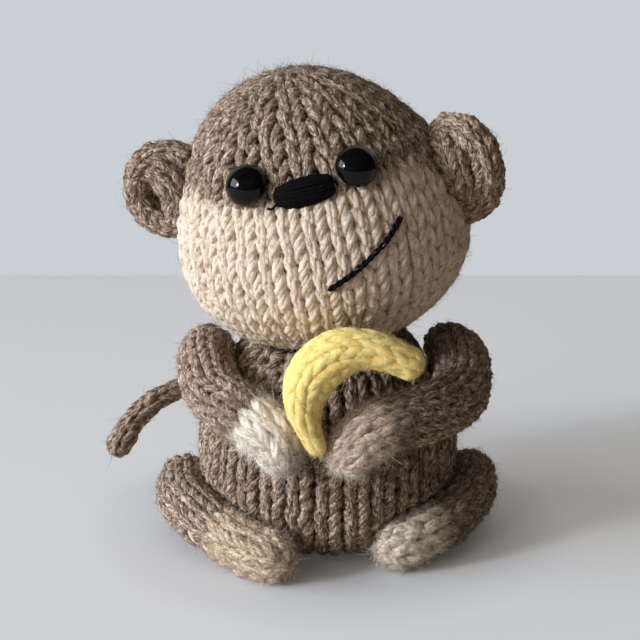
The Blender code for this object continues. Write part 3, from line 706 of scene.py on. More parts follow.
def outside_line(points, core, room):
    """Moves points that are too near a limb, or inside it, straight away from its line."""
    line, radii = core
    low, high = line.min(0) - NEAR_LIMB, line.max(0) + NEAR_LIMB
    near = np.flatnonzero(np.all((points > low) & (points < high), axis=1))
    moved = points.copy()
    for part in np.array_split(near, max(1, len(near) // POINTS_AT_A_TIME)):
        if not len(part):
            continue
        apart = points[part][:, None, :] - line[None, :, :]
        distance = np.linalg.norm(apart, axis=2)
        nearest = np.argmin(distance - radii[None, :], axis=1)
        rows = np.arange(len(part))
        reach = distance[rows, nearest]
        wanted = radii[nearest] + room
        away = apart[rows, nearest] / np.maximum(reach, 1e-9)[:, None]
        inside = (reach < wanted)[:, None]
        moved[part] = np.where(inside, line[nearest] + away * wanted[:, None], points[part])
    return moved


def above_floor(points, room):
    points = points.copy()
    points[:, 2] = np.maximum(points[:, 2], FLOOR_SPREAD * (room + FLOOR_GAP) + FLOOR_GAP)
    return points


def nearest_on(line, points):
    """The line's nearest point to each of the points, as numbers, and the way from it."""
    found = np.empty(len(points), int)
    for part in np.array_split(np.arange(len(points)), max(1, len(points) // POINTS_AT_A_TIME)):
        apart = points[part][:, None, :] - line[None, :, :]
        found[part] = np.argmin(np.sum(apart**2, axis=2), axis=1)
    return found, points - line[found]


# Yarn

class Yarn:
    """Centre lines of yarn. Each point has a place, the way out of the fabric, a radius, a height in
    the fabric, the number of its run and a tone."""

    def __init__(self, points, normals, radii, rise, runs, seed, tone=None):
        self.points, self.normals, self.radii = points, normals, radii
        self.rise, self.runs, self.seed = rise, runs, seed
        self.tone = np.zeros(len(points)) if tone is None else tone

    def kept(self, mask):
        """Only the points of the mask, where each gap starts a new run."""
        breaks = np.concatenate([[False], ~mask[:-1] | (np.diff(self.runs) != 0)])
        runs = np.cumsum(breaks)
        counts = np.bincount(runs[mask], minlength=runs.max() + 1)
        mask = mask & (counts[runs] > 3)
        _, renumbered = np.unique(runs[mask], return_inverse=True)
        parts = (part[mask] for part in (self.points, self.normals, self.radii, self.rise))
        return Yarn(*parts, renumbered, self.seed, self.tone[mask])

    def tangents(self):
        count = len(self.runs)
        index = np.arange(count)
        before, after = np.maximum(index - 1, 0), np.minimum(index + 1, count - 1)
        before = np.where(self.runs[before] == self.runs, before, index)
        after = np.where(self.runs[after] == self.runs, after, index)
        return unit(self.points[after] - self.points[before])

    def axes(self):
        """Three directions at each point: along the yarn, out of the fabric and across."""
        along = self.tangents()
        out = unit(self.normals - along * np.sum(along * self.normals, 1, keepdims=True))
        return along, out, np.cross(along, out)

    def starts(self):
        return np.flatnonzero(np.concatenate([[True], self.runs[1:] != self.runs[:-1]]))

    def lengths(self):
        """How far along its own run each point lies."""
        step = np.concatenate([[0], np.linalg.norm(np.diff(self.points, axis=0), axis=1)])
        starts = self.starts()
        step[starts] = 0
        total = np.cumsum(step)
        return total - total[starts][self.runs]

    def plied(self):
        """The same yarn as its plies, thinner strands wound round each other."""
        _, out, across = self.axes()
        turn = TAU * self.lengths() / PLY_PITCH
        parts = []
        for ply in range(PLIES):
            angle = turn + TAU * ply / PLIES
            way = out * np.cos(angle)[:, None] + across * np.sin(angle)[:, None]
            points = self.points + way * (self.radii * PLY_OFFSET)[:, None]
            parts.append((points, self.rise + 0.5 * np.cos(angle), self.runs + ply * (self.runs[-1] + 1)))
        points, rise, runs = (np.concatenate(part) for part in zip(*parts))
        normals, tone = np.tile(self.normals, (PLIES, 1)), np.tile(self.tone, PLIES)
        return Yarn(points, normals, np.tile(self.radii * PLY_SIZE, PLIES), rise, runs, self.seed, tone)


def strands_yarn(strands, seed):
    """Yarn from single strands, each its points, the ways out of the fabric and its radii."""
    runs = np.repeat(np.arange(len(strands)), [len(points) for points, _, _ in strands])
    points, normals, radii = (np.concatenate(part) for part in zip(*strands))
    return Yarn(points, normals, radii, np.ones(len(points)), runs, seed)


def lumps(u, v, girth, chance):
    """The slow unevenness of hand knitting over a shape, from 0 to 1."""
    total = 0
    for _ in range(4):
        turns = round(chance.normal(0, girth / LUMP_LENGTH))
        total = total + np.cos(TAU * (turns * u + v * chance.normal(0, 1 / LUMP_LENGTH) + chance.random()))
    return np.clip(0.5 + total / 5, 0, 1)


def knit(
    shape, gauge, start, end, seed, fewer=6, most=None, tone=None,
    lump=LUMP, pull=LOOP_PULL, swing=LOOP_SWING, lift=LOOP_RISE,
):
    """Rows of loops over a shape from v = start to v = end, with fewer loops where it narrows."""
    wale, row, radius = GAUGES[gauge]
    chance = np.random.default_rng(seed)
    rows = max(1, round((end - start) / row))
    widest = most or round(max(float(shape.girth(v)) for v in np.linspace(start, end, rows)) / wale)
    rise = radius * lift
    parts = []
    for j in range(rows):
        v = start + (j + 0.5) * (end - start) / rows
        girth = float(shape.girth(v))
        count = max(3, widest - fewer * max(0, round((widest - girth / wale) / fewer)))
        t = TAU * np.arange(count * LOOP_POINTS + 1) / LOOP_POINTS
        spots = np.arange(count + 1)
        sway, climb, swell, mood = chance.normal(0, STITCH_JITTER, (4, count + 1))
        stitch = t / TAU
        x = stitch + swing * np.sin(2 * t) - pull * np.sin(t) + np.interp(stitch, spots, sway) * SWAY_SHARE
        y = row * (LOOP_REACH * np.cos(t) + np.interp(stitch, spots, climb))
        squeeze = min(1, girth / count / wale * SQUEEZE_SLACK)
        size = radius * squeeze * (1 + np.interp(stitch, spots, swell))
        z = -rise * np.cos(2 * t)
        moods = np.interp(stitch, spots, mood) / STITCH_JITTER
        parts.append((x / count, v + y, z, size, np.full(len(t), j), moods))
    u, v, z, size, runs, moods = (np.concatenate(part) for part in zip(*parts))
    proud = lump * lumps(u, v, float(np.max(shape.girth(v))), np.random.default_rng(seed // 10))
    points, normals = shape.at(u, v, z - rise - radius + proud)
    return Yarn(points, normals, size, z / rise, runs, seed, tone(points, moods) if tone else None)


def tube_mesh(name, yarn, sides):
    """The yarn as closed tubes, with its length and girth in millimetres in the map Yarn."""
    runs, count = yarn.runs, len(yarn.points)
    _, out, across = yarn.axes()
    angles = TAU * np.arange(sides) / sides
    ring = out[:, None] * np.cos(angles)[:, None] + across[:, None] * np.sin(angles)[:, None]
    verts = yarn.points[:, None] + ring * yarn.radii[:, None, None]
    same = np.flatnonzero(runs[1:] == runs[:-1])
    k = np.arange(sides)
    a = same[:, None] * sides + k
    b = same[:, None] * sides + (k + 1) % sides
    quads = np.stack([a, b, b + sides, a + sides], 2).reshape(-1, 4)
    starts = yarn.starts()
    ends = np.concatenate([starts[1:] - 1, [count - 1]])
    caps = np.vstack([starts[:, None] * sides + k[::-1], ends[:, None] * sides + k])
    mesh = mesh_from(name, verts.reshape(-1, 3), [(quads, 4), (caps, sides)])

    s = yarn.lengths()
    longest = max(s.max(), 1e-6)
    girth = TAU * float(yarn.radii.max())
    columns = max(1, math.ceil(math.sqrt(len(starts) * girth * 1.2 / longest)))
    lines = math.ceil(len(starts) / columns)
    offset = np.random.default_rng(yarn.seed + 100).uniform(0, 1000, len(starts))

    def maps(run, along, around):
        """Corners in the bake's map, where each run has its own strip, and in the yarn's."""
        strip = (run % columns + 0.02 + 0.96 * along / longest) / columns
        level = (run // columns + 0.06 + 0.88 * around) / lines
        return (strip, level), (1000 * along + offset[run], 1000 * girth * around)

    spot = np.repeat(same, sides)
    side_low = np.tile(k, len(same)) / sides
    side_high = side_low + 1 / sides
    lengthwise = np.stack([s[spot], s[spot], s[spot + 1], s[spot + 1]], 1)
    round_it = np.stack([side_low, side_high, side_high, side_low], 1)
    tips = np.concatenate([starts, ends])[:, None]
    quad_maps = maps(runs[spot][:, None], lengthwise, round_it)
    cap_maps = maps(runs[tips], s[tips], k / sides)
    for layer, *corners in zip(("OFBake", "Yarn"), quad_maps, cap_maps):
        set_map(mesh, layer, corners)
    # Painted shade: deep says how far down in the fabric each corner lies, low in its row or on the tube's
    # underside, and the yarn's colour darkens with it
    top = 0.5 + 0.5 * (yarn.rise[:, None] + 0.8 * np.sum(ring * yarn.normals[:, None], 2)) / 1.9
    set_numbers(mesh, "deep", 1 - np.clip(top, 0, 1).ravel())
    set_numbers(mesh, "tone", np.repeat(yarn.tone, sides))
    return mesh


def set_map(mesh, name, corners):
    layer = mesh.uv_layers.new(name=name)
    flat = [np.stack(np.broadcast_arrays(*pair), 2).reshape(-1, 2) for pair in corners]
    layer.uv.foreach_set("vector", np.vstack(flat).astype(np.float32).ravel())


def set_numbers(mesh, name, values):
    layer = mesh.attributes.new(name, "FLOAT", "POINT")
    layer.data.foreach_set("value", np.ascontiguousarray(values, np.float32))


def mesh_from(name, verts, faces):
    """A smooth shaded mesh from its points and lists of (faces, corners per face)."""
    mesh = bpy.data.meshes.new(name)
    mesh.vertices.add(len(verts))
    mesh.vertices.foreach_set("co", np.ascontiguousarray(verts, np.float32).ravel())
    corners = np.concatenate([part.ravel() for part, _ in faces]).astype(np.int32)
    sizes = np.concatenate([np.full(len(part), n) for part, n in faces])
    mesh.loops.add(len(corners))
    mesh.loops.foreach_set("vertex_index", corners)
    mesh.polygons.add(len(sizes))
    loop_starts = np.concatenate([[0], np.cumsum(sizes)[:-1]]).astype(np.int32)
    mesh.polygons.foreach_set("loop_start", loop_starts)
    mesh.polygons.foreach_set("use_smooth", np.ones(len(sizes), bool))
    mesh.update(calc_edges=True)
    return mesh


def add_object(name, mesh, material):
    obj = bpy.data.objects.new(name, mesh)
    bpy.context.scene.collection.objects.link(obj)
    mesh.materials.append(material)
    return obj


def skin(name, shape, start, end, out, around, along, press=None, room=0.0, tone=None):
    """A smooth sheet over a shape: the lining under the loops, or the outside of the stuffing."""
    u, v = np.meshgrid(np.linspace(0, 1, around + 1)[:-1], np.linspace(start, end, along + 1))
    points, _ = shape.at(u.ravel(), v.ravel(), np.full(u.size, out))
    if press:
        points = press(points, room)
    i = np.arange(along)[:, None] * around
    k = np.arange(around)
    right = (k + 1) % around
    quads = np.stack([i + k, i + right, i + around + right, i + around + k], 2).reshape(-1, 4)
    mesh = mesh_from(name, points, [(quads, 4)])
    if tone:
        set_numbers(mesh, "tone", tone(points, 0))
    return mesh


def fuzz(yarn, count, length, seed):
    """Fine fibres that start on the outer yarn and wander off along it."""
    chance = np.random.default_rng(seed)
    outer = np.flatnonzero(yarn.rise > -0.2)
    pick = outer[chance.integers(0, len(outer), count)]
    along = yarn.tangents()[pick]
    out = yarn.normals[pick]
    side = np.cross(out, along)
    turn = chance.normal(0, FIBRE_TURN, count) + np.where(chance.random(count) < 0.5, 0, math.pi)
    heading = along * np.cos(turn)[:, None] + side * np.sin(turn)[:, None]
    bend = np.cross(out, heading) * chance.normal(0, FIBRE_BEND, count)[:, None]
    reach = length * chance.uniform(FIBRE_SHORTEST, FIBRE_LONGEST, count)
    stray = chance.random(count) < STRAY_SHARE
    reach[stray] *= STRAY_STRETCH
    rise = np.abs(chance.normal(0, FIBRE_LIFT, count)) + 0.05
    rise[stray] += STRAY_LIFT
    roll = chance.uniform(-1, 1, count)[:, None]
    base = yarn.points[pick] + (out * FIBRE_DEPTH + side * roll * FIBRE_SIDEWAYS) * yarn.radii[pick][:, None]
    points = np.stack(
        [
            base
            + heading * (reach * s)[:, None]
            + bend * (reach * s**2)[:, None]
            + out * (reach * (rise * s - FIBRE_FALL * s**2))[:, None]
            for s in np.linspace(0, 1, 3)
        ],
        1,
    ).reshape(-1, 3)
    points[:, 2] = np.maximum(points[:, 2], 2 * FIBRE_WIDTH)
    radii = np.tile(FIBRE_WIDTH * np.array(FIBRE_TAPER), count)
    normals, tone = np.repeat(out, 3, axis=0), np.repeat(yarn.tone[pick], 3)
    return Yarn(points, normals, radii, np.ones(len(points)), np.repeat(np.arange(count), 3), seed, tone)


# Materials

class Graph:
    """A material's nodes."""

    def __init__(self, name):
        self.material = bpy.data.materials.new(name)
        self.material.use_nodes = True
        self.tree = self.material.node_tree
        self.shader = self.tree.nodes["Principled BSDF"]

    def add(self, kind, inputs=None, **settings):
        node = self.tree.nodes.new("ShaderNode" + kind)
        for key, value in settings.items():
            setattr(node, key, value)
        for key, value in (inputs or {}).items():
            self.feed(node.inputs[key], value)
        return node.outputs[0]

    def feed(self, socket, value):
        if isinstance(value, bpy.types.NodeSocket):
            self.tree.links.new(value, socket)
        else:
            socket.default_value = value

    def maths(self, operation, first, second=0.0, third=0.0):
        return self.add("Math", {0: first, 1: second, 2: third}, operation=operation)

    def times(self, first, second):
        return self.maths("MULTIPLY", first, second)

    def attribute(self, name):
        return self.add("Attribute", attribute_name=name).node.outputs["Fac"]

    def place(self):
        return self.add("TexCoord").node.outputs["Object"]

    def grain(self, scale, **inputs):
        """Noise in the object's own space."""
        return self.add("TexNoise", {"Vector": self.place(), "Scale": scale, **inputs})

    def bump(self, height, strength, distance):
        return self.add("Bump", {"Strength": strength, "Distance": distance, "Height": height})

    def mixed(self, share, first, second, blend="MIX"):
        node = self.tree.nodes.new("ShaderNodeMix")
        node.data_type = "RGBA"
        node.blend_type = blend
        for socket, value in ((0, share), (6, first), (7, second)):
            self.feed(node.inputs[socket], value)
        return node.outputs[2]

    def toned(self, shades, first, second):
        """The first yarn's shades, or where the mesh's tone says so the second's."""
        colour = shades(first)
        if second is None:
            return colour
        return self.mixed(self.attribute("tone"), colour, shades(second))

    def ramp(self, share, *stops):
        node = self.tree.nodes.new("ShaderNodeValToRGB")
        while len(node.color_ramp.elements) < len(stops):
            node.color_ramp.elements.new(0.5)
        for element, (place, colour) in zip(node.color_ramp.elements, stops):
            element.position = place
            element.color = (*colour, 1)
        self.feed(node.inputs[0], share)
        return node.outputs[0]

    def set(self, **values):
        for key, value in values.items():
            self.feed(self.shader.inputs[SHADER_INPUTS[key]], value)
        return self.material


def yarn_material(name, palette, second=None, fibre=1.0, contrast=2.5, bump=0.6, sheen=0.12):
    """Twisted, heathered yarn, from noise that runs along it in the map Yarn."""
    graph = Graph(name)
    split = graph.add("SeparateXYZ", {0: graph.add("UVMap", uv_map="Yarn")}).node
    along, around = split.outputs[0], split.outputs[1]

    def noise(spot, detail, roughness=0.5):
        vector = graph.add("CombineXYZ", dict(enumerate(spot)))
        inputs = {"Vector": vector, "Scale": 1.0, "Detail": detail, "Roughness": roughness}
        return graph.add("TexNoise", inputs)

    fibres = noise((graph.times(along, 1.6 * fibre), graph.times(around, 2.8 * fibre), 0.0), 3.0, 0.65)
    flecks = noise((graph.times(along, 0.8 * fibre), graph.times(around, 1.3 * fibre), 4.0), 1.5)
    drift = noise((graph.times(along, 0.07), 9.0, 2.0), 1.0)
    streak = graph.maths("MULTIPLY_ADD", fibres, 0.44, graph.times(flecks, 0.34))
    streak = graph.maths("MULTIPLY_ADD", drift, 0.22, streak)
    streak = graph.maths("MULTIPLY_ADD", streak, contrast, 0.5 - 0.5 * contrast)

    def shades(palette):
        colour = graph.ramp(streak, *zip(STREAK_PLACES, PALETTES[palette]))
        # Painted shade: the colour darkens towards the yarn's depth tint where it lies deep between loops
        # and plies
        depth = graph.maths("POWER", graph.attribute("deep"), 1.1)
        painted_depth_shade = graph.mixed(depth, (1, 1, 1, 1), (*DEPTH_SHADE_TINTS[palette], 1))
        return graph.mixed(1.0, colour, painted_depth_shade, "MULTIPLY")

    colour = graph.toned(shades, palette, second)
    phase = graph.maths("MULTIPLY_ADD", along, 3.1, graph.times(around, 2.4))
    twist = graph.maths("MULTIPLY_ADD", graph.maths("SINE", phase), 0.5, 0.5)
    height = graph.maths("ADD", graph.times(twist, 0.25), fibres)
    graph.set(colour=colour, roughness=0.92, specular=0.15, normal=graph.bump(height, bump, 0.00035))
    return graph.set(sheen=sheen, sheen_roughness=0.5)


def fibre_material(name, yarn, second=None):
    """Loose fibres, each in a shade of its own."""
    graph = Graph(name)
    chance = graph.add("NewGeometry").node.outputs["Random Per Island"]

    def shades(yarn):
        colour = FIBRE_COLOURS[yarn]
        dark = tuple(channel * 0.45 for channel in colour)
        light = tuple(min(channel * 1.5, 0.95) for channel in colour)
        return graph.ramp(chance, (0.0, dark), (0.5, colour), (1.0, light))

    return graph.set(colour=graph.toned(shades, yarn, second), roughness=0.95, specular=0.1)


def lining_material(name, palette, second=None):
    """The purl side of the fabric, darkened with painted shade, which shows only as dark between the loops.
    """
    graph = Graph(name)
    bits = graph.grain(900.0, Detail=3.0)

    def shades(palette):
        # Painted shade: the lining's shades are the yarn's dark and middle ones darkened by its depth tint
        low, high = (tuple(np.multiply(PALETTES[palette][k], DEPTH_SHADE_TINTS[palette])) for k in range(2))
        return graph.ramp(bits, (0.35, low), (0.65, high))

    colour = graph.toned(shades, palette, second)
    return graph.set(colour=colour, roughness=0.97, specular=0.05, normal=graph.bump(bits, 0.6, 0.0004))


def stuffing_material():
    graph = Graph("fibrefill")
    wisps = graph.grain(500.0, Detail=6.0, Distortion=2.5)
    colour = graph.ramp(wisps, (0.3, (0.74, 0.73, 0.70)), (0.7, (0.93, 0.92, 0.90)))
    return graph.set(colour=colour, roughness=0.98, specular=0.1, normal=graph.bump(wisps, 0.8, 0.0006))


def eye_material():
    graph = Graph("eye_gloss")
    haze = graph.grain(700.0, Detail=3.0)
    colour = graph.ramp(haze, (0.3, (0.002, 0.002, 0.0025)), (0.7, (0.006, 0.006, 0.007)))
    return graph.set(colour=colour, roughness=graph.maths("MULTIPLY_ADD", haze, 0.05, 0.03), specular=0.2)


def washer_material():
    graph = Graph("washer_moulded")
    grain = graph.grain(1500.0, Detail=3.0)
    colour = graph.ramp(grain, (0.3, (0.68, 0.68, 0.66)), (0.7, (0.78, 0.78, 0.76)))
    return graph.set(colour=colour, roughness=0.45, normal=graph.bump(grain, 0.25, 0.0001))


def make_materials():
    materials = {
        "head": yarn_material("head_heather", "brown", "cream"),
        "body": yarn_material("body_heather", "umber"),
        "ear_right": yarn_material("ear_heather_right", "umber"),
        "ear_left": yarn_material("ear_heather_left", "brown"),
        "banana": yarn_material("banana_yellow", "yellow", fibre=1.3, contrast=1.5, bump=0.3, sheen=0.3),
        "black": yarn_material("black_thread", "black", fibre=1.5, sheen=0.0),
        "head_fibre": fibre_material("head_fibres", "brown", "cream"),
        "brown_fibre": fibre_material("brown_fibres", "brown"),
        "banana_fibre": fibre_material("yellow_fibres", "yellow"),
        "head_lining": lining_material("head_purl", "brown", "cream"),
        "brown_lining": lining_material("brown_purl", "brown"),
        "banana_lining": lining_material("yellow_purl", "yellow"),
        "stuffing": stuffing_material(),
        "eye": eye_material(),
        "washer": washer_material(),
    }
    for limb, (upper, end, contrast) in LIMB_YARNS.items():
        kind, side = limb.split("_")
        materials[limb] = yarn_material(f"{kind}_heather_{side}", upper, end, contrast=contrast)
        materials[limb + "_fibre"] = fibre_material(f"{kind}_fibres_{side}", "brown", end)
        materials[limb + "_lining"] = lining_material(f"{kind}_purl_{side}", upper, end)
    return materials


# Stage

def stage_surface(name, colours, contact_shadow_share=1.0, far_shade_share=1.0):
    """Painted board: its own colour, then the colour and glow only the camera sees, with painted shade at
    the back and near the doll.
    """
    colour, seen_colour, glow = colours
    graph = Graph(name)
    place = graph.place()
    cloud = graph.add("TexNoise", {"Vector": place, "Scale": 3.0, "Detail": 2.0})
    path = graph.add("LightPath").node.outputs
    seen = graph.maths("MAXIMUM", path["Is Camera Ray"], path["Is Transmission Ray"])
    seen = graph.maths("MAXIMUM", seen, path["Is Glossy Ray"])
    back = graph.add("SeparateXYZ", {0: place}).node.outputs[1]
    distance = graph.add("MapRange", {0: back, 1: TABLE_SHADE_FROM, 2: TABLE_FAR})
    far_shaded_colour = tuple(channel * far_shade_share for channel in seen_colour)
    base = graph.mixed(seen, (*colour, 1), graph.mixed(distance, (*seen_colour, 1), (*far_shaded_colour, 1)))
    shade = graph.mixed(graph.times(cloud, 0.03), base, (0.5, 0.5, 0.5, 1))
    # Painted shadow: the glow fades near the doll
    reach = graph.add("VectorMath", {0: place}, operation="LENGTH").node.outputs["Value"]
    clear = graph.add("MapRange", {0: reach, 1: CONTACT_SHADOW_INNER, 2: CONTACT_SHADOW_OUTER, 3: contact_shadow_share, 4: 1.0})
    graph.feed(graph.shader.inputs["Emission Color"], (*glow, 1))
    graph.feed(graph.shader.inputs["Emission Strength"], graph.times(seen, clear))
    return graph.set(colour=shade, roughness=0.9, specular=0.0)


def add_board(name, points, faces, material):
    mesh = bpy.data.meshes.new(name)
    mesh.from_pydata(points, [], faces)
    return add_object(name, mesh, material)


def make_stage():
    table = stage_surface("table", TABLE_COLOURS, CONTACT_SHADOW_GLOW_SHARE, TABLE_FAR_SHADE_SHARE)
    ends = ((-1, TABLE_NEAR), (1, TABLE_NEAR), (1, TABLE_FAR), (-1, TABLE_FAR))
    floor = add_board("floor", [(TABLE_SIDE * x, y, 0) for x, y in ends], [(0, 1, 2, 3)], table)
    backdrop = stage_surface("backdrop", WALL_COLOURS)
    corners = ((-1, ROOM_BACK), (1, ROOM_BACK), (1, ROOM_FRONT), (-1, ROOM_FRONT))
    points = [(ROOM_SIDE * x, y, z) for z in (ROOM_BOTTOM, ROOM_TOP) for x, y in corners]
    wall = add_board("wall", points, [(0, 4, 5, 1)], backdrop)
    # The other three walls are there for the camera alone, and the lamps shine through them.
    room = add_board("room_walls", points, [(1, 5, 6, 2), (2, 6, 7, 3), (3, 7, 4, 0)], backdrop)
    room.visible_diffuse = room.visible_glossy = room.visible_transmission = room.visible_shadow = False


def make_camera():
    angle = math.radians(CAMERA_ELEVATION_DEG)
    forward = Vector((0, math.cos(angle), -math.sin(angle)))
    up = Vector((0, math.sin(angle), math.cos(angle)))
    camera = bpy.data.objects.new("camera", bpy.data.cameras.new("camera"))
    axes = Matrix((Vector((1, 0, 0)), up, -forward)).transposed().to_4x4()
    camera.matrix_world = Matrix.Translation(CAMERA_TARGET - forward * CAMERA_DISTANCE) @ axes
    camera.data.lens = CAMERA_LENS_MM
    camera.data.sensor_width = 36
    camera.data.clip_start = 0.01
    bpy.context.scene.collection.objects.link(camera)
    bpy.context.scene.camera = camera


def make_lights():
    for name, (place, size, power, colour) in LAMPS.items():
        lamp = bpy.data.lights.new(name, "AREA")
        lamp.shape = "RECTANGLE"
        lamp.size, lamp.size_y = size
        lamp.energy = power
        lamp.color = colour
        obj = bpy.data.objects.new(name, lamp)
        obj.location = place
        obj.rotation_euler = (LAMP_TARGET - obj.location).to_track_quat("-Z", "Y").to_euler()
        if name in UNREFLECTED_LAMPS:
            obj.visible_glossy = False
        bpy.context.scene.collection.objects.link(obj)
    world = bpy.data.worlds.new("air")
    bpy.context.scene.world = world
    world.use_nodes = True
    background = world.node_tree.nodes["Background"]
    background.inputs[0].default_value = AIR_COLOUR
    background.inputs[1].default_value = AIR_STRENGTH
    bpy.context.scene.view_settings.view_transform = "Standard"


# Pieces. A cover is what a piece stands for: the body it rides, its slot and the nodes it replaces.

def dress(name, mesh, material, cover):
    body, slot, nodes = cover
    piece = add_object(name, mesh, material)
    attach(piece, body)
    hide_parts(*nodes)


def dress_knit(names, yarn, looks, cover, count, seed, length=FIBRE_LENGTH, sides=PLY_SIDES):
    """A sheet of knitting, and the loose fibres that stand off it."""
    knitted, fibre = looks
    name = names.format("knit")
    dress(name, tube_mesh(name, yarn, sides), knitted, cover)
    name = names.format("fuzz")
    dress(name, tube_mesh(name, fuzz(yarn, count, length, seed), FIBRE_SIDES), fibre, cover)


def dress_lining(name, material, cover, gauge, shape, start, end, around, along, fill=None, **ways):
    """The purl side of a sheet of knitting, close under its loops: a dark sheet of painted shade."""
    _, _, radius = GAUGES[gauge]
    depth = -radius * (1 + LOOP_RISE) - LINING_GAP
    mesh = skin(name, shape, start, end, depth, around, along, room=2 * radius, **ways)
    dress(name, mesh, material, cover)


def dress_filling(name, material, body, node, shape, around, along, inset=STUFFING_INSET, press=None):
    """The fibrefill inside a whole shape."""
    mesh = skin(name, shape, 0.0, shape.length, -inset, around, along, press, FILL_ROOM)
    dress(name, mesh, material, (body, "stuffing", [node]))


def make_body(materials, cores):
    shape = body_shape()
    cover = ("torso", "body_yarn", ["body_cover"])
    looks = (materials["body"], materials["brown_fibre"])

    def press(points, room):
        for core in cores:
            points = outside_line(points, core, GAP + room)
        return above_floor(outside_head(points, GAP + COLLAR_ROOM + room), room)

    heights = (BODY_BASE_HEIGHT, BODY_WIDEST_HEIGHT, BODY_EDGE_HEIGHT)
    low, middle, top = (shape.v_at_height(height) for height in heights)
    _, _, radius = GAUGES["body"]
    parts = (("base", 0.0, low, 11), ("lower", low, middle, 12), ("upper", middle, top, 13))
    for word, start, end, seed in parts:
        yarn = knit(shape, "body", start, end, seed, most=28, pull=ROPE_PULL, swing=ROPE_SWING)
        keep = head_share(yarn.points) > BODY_KEPT_SHARE
        yarn.points = press(yarn.points, radius)
        dress_knit("body_{}_" + word, yarn.kept(keep).plied(), looks, cover, 13000, seed)
    lining, brown = "body_lining", materials["brown_lining"]
    dress_lining(lining, brown, cover, "body", shape, 0.0, shape.length, 80, 60, press=press)
    stuffing = materials["stuffing"]
    dress_filling("body_fibrefill", stuffing, "torso", "body_stuffing", shape, 48, 36, press=press)


def face_tone(points, moods):
    """How far the head's yarn has changed from brown to cream at each point."""
    local = placed(head_frame().inverted(), points)
    azimuth = np.degrees(np.arctan2(local[:, 0], -local[:, 1]))
    places, shares = zip(*FACE_BORDER)
    border = CROWN_HEIGHT * np.interp(azimuth, places, shares) + FACE_BORDER_WANDER * moods
    return np.clip(0.5 + (border - local[:, 2]) / FACE_BORDER_BLEND, 0, 1)


def make_head(materials):
    shape = head_shape()
    heights = (CHIN_PART_HEIGHT, CROWN_HEIGHT * YARN_CHANGE_SHARE, CROWN_PART_HEIGHT)
    lower, change, upper = (shape.v_at_height(height) for height in heights)
    looks = (materials["head"], materials["head_fibre"])
    covers = {node: ("head", node + "_yarn", ["head_" + node]) for node in ("crown", "face")}
    for node, word, start, end, seed in (
        ("crown", "top", upper, shape.length, 211),
        ("crown", "side", change, upper, 212),
        ("face", "cheek", lower, change, 213),
        ("face", "chin", 0.0, lower, 214),
    ):
        yarn = knit(shape, "head", start, end, seed, most=36, tone=face_tone).plied()
        dress_knit(f"head_{node}_{word}_" + "{}", yarn, looks, covers[node], 13000, seed)
    for node, start, end in (("crown", change, shape.length), ("face", 0.0, change)):
        name, material = f"head_{node}_lining", materials["head_lining"]
        dress_lining(name, material, covers[node], "head", shape, start, end, 72, 36, tone=face_tone)
    inset = STUFFING_INSET + HEAD_FILL_INSET
    dress_filling("head_fibrefill", materials["stuffing"], "head", "head_stuffing", shape, 48, 40, inset)


def make_ears(materials):
    for side in EAR_SETTING:
        node = "ear_" + side
        cover = ("head", "ear_yarn", [node])
        looks = (materials[node], materials["brown_fibre"])
        for word, shape, fewer, seed in (("rim", ear_shape(side), 1, 41), ("curl", ear_fold(side), 2, 43)):
            name = node + "_" + word
            yarn = knit(shape, "ear", 0.0, shape.length, seed, fewer, lump=EAR_LUMPS[side])
            yarn = yarn.kept(head_share(yarn.points) > EAR_KEPT_SHARE).plied()
            dress_knit(name + "_{}", yarn, looks, cover, 2500, seed)
            lining = materials["brown_lining"]
            dress_lining(name + "_lining", lining, cover, "ear", shape, 0.0, shape.length, 26, 40)


def limb_tone(shape, body):
    """How far a limb's yarn has changed from brown to pale at each point."""
    line, _ = shape.core
    first, last = LIMB_BORDERS[body]

    def tone(points, moods):
        found, away = nearest_on(line, points)
        share = found / (len(line) - 1) + LIMB_BORDER_WANDER * moods
        pale = np.clip((share - first) / (last - first), 0, 1)
        if body == "right_arm":
            # Painted shade: a brownish stripe down the right paw's side
            left, right = PAW_SHADE_STRIPE
            paw_shade = np.clip((points[:, 0] - left) / PAW_SHADE_STRIPE_BLEND, 0, 1)
            paw_shade = paw_shade * np.clip((right - points[:, 0]) / PAW_SHADE_STRIPE_BLEND, 0, 1)
            pale = pale * (1 - PAW_SHADE_STRIPE_SHARE * paw_shade)
        elif body == "left_arm":
            pale = pale * (1 - PAW_TOP_SHARE * np.clip(0.5 + away[:, 2] / PAW_TOP_BLEND, 0, 1))
        else:
            pale = pale * (1 - FOOT_SHARE + FOOT_SHARE * np.clip(moods, -1, 1))
        return np.clip(pale, 0, 1)

    return tone


def make_limb(materials, kind, side, shape, press, parts, seed):
    """An arm or a leg. Its parts are the node, slot and gauge of its first length and of its end."""
    limb, body = kind + "_" + side, side + "_" + kind
    looks = (materials[limb], materials[limb + "_fibre"])
    change = shape.v_at_share(CUT_SHARES[kind][side])
    tone = limb_tone(shape, body)
    spans = ((0.0, change), (change, shape.length))
    for (node, slot, gauge), (start, end), (count, length) in zip(parts, spans, LIMB_FIBRES):
        node = node + "_" + side
        cover = (body, slot, [node])
        yarn = knit(shape, gauge, start, end, seed, fewer=1, most=8, tone=tone)
        yarn.points = press(yarn.points, GAUGES[gauge][2])
        dress_knit(node + "_{}", yarn.plied(), looks, cover, count, seed + 2, length)
        name, lining = node + "_lining", materials[limb + "_lining"]
        dress_lining(name, lining, cover, gauge, shape, start, end, 24, 30, press=press, tone=tone)
        seed += 1
    node = kind + "_stuffing_" + side
    dress_filling(node + "_fibrefill", materials["stuffing"], body, node, shape, 20, 40, press=press)


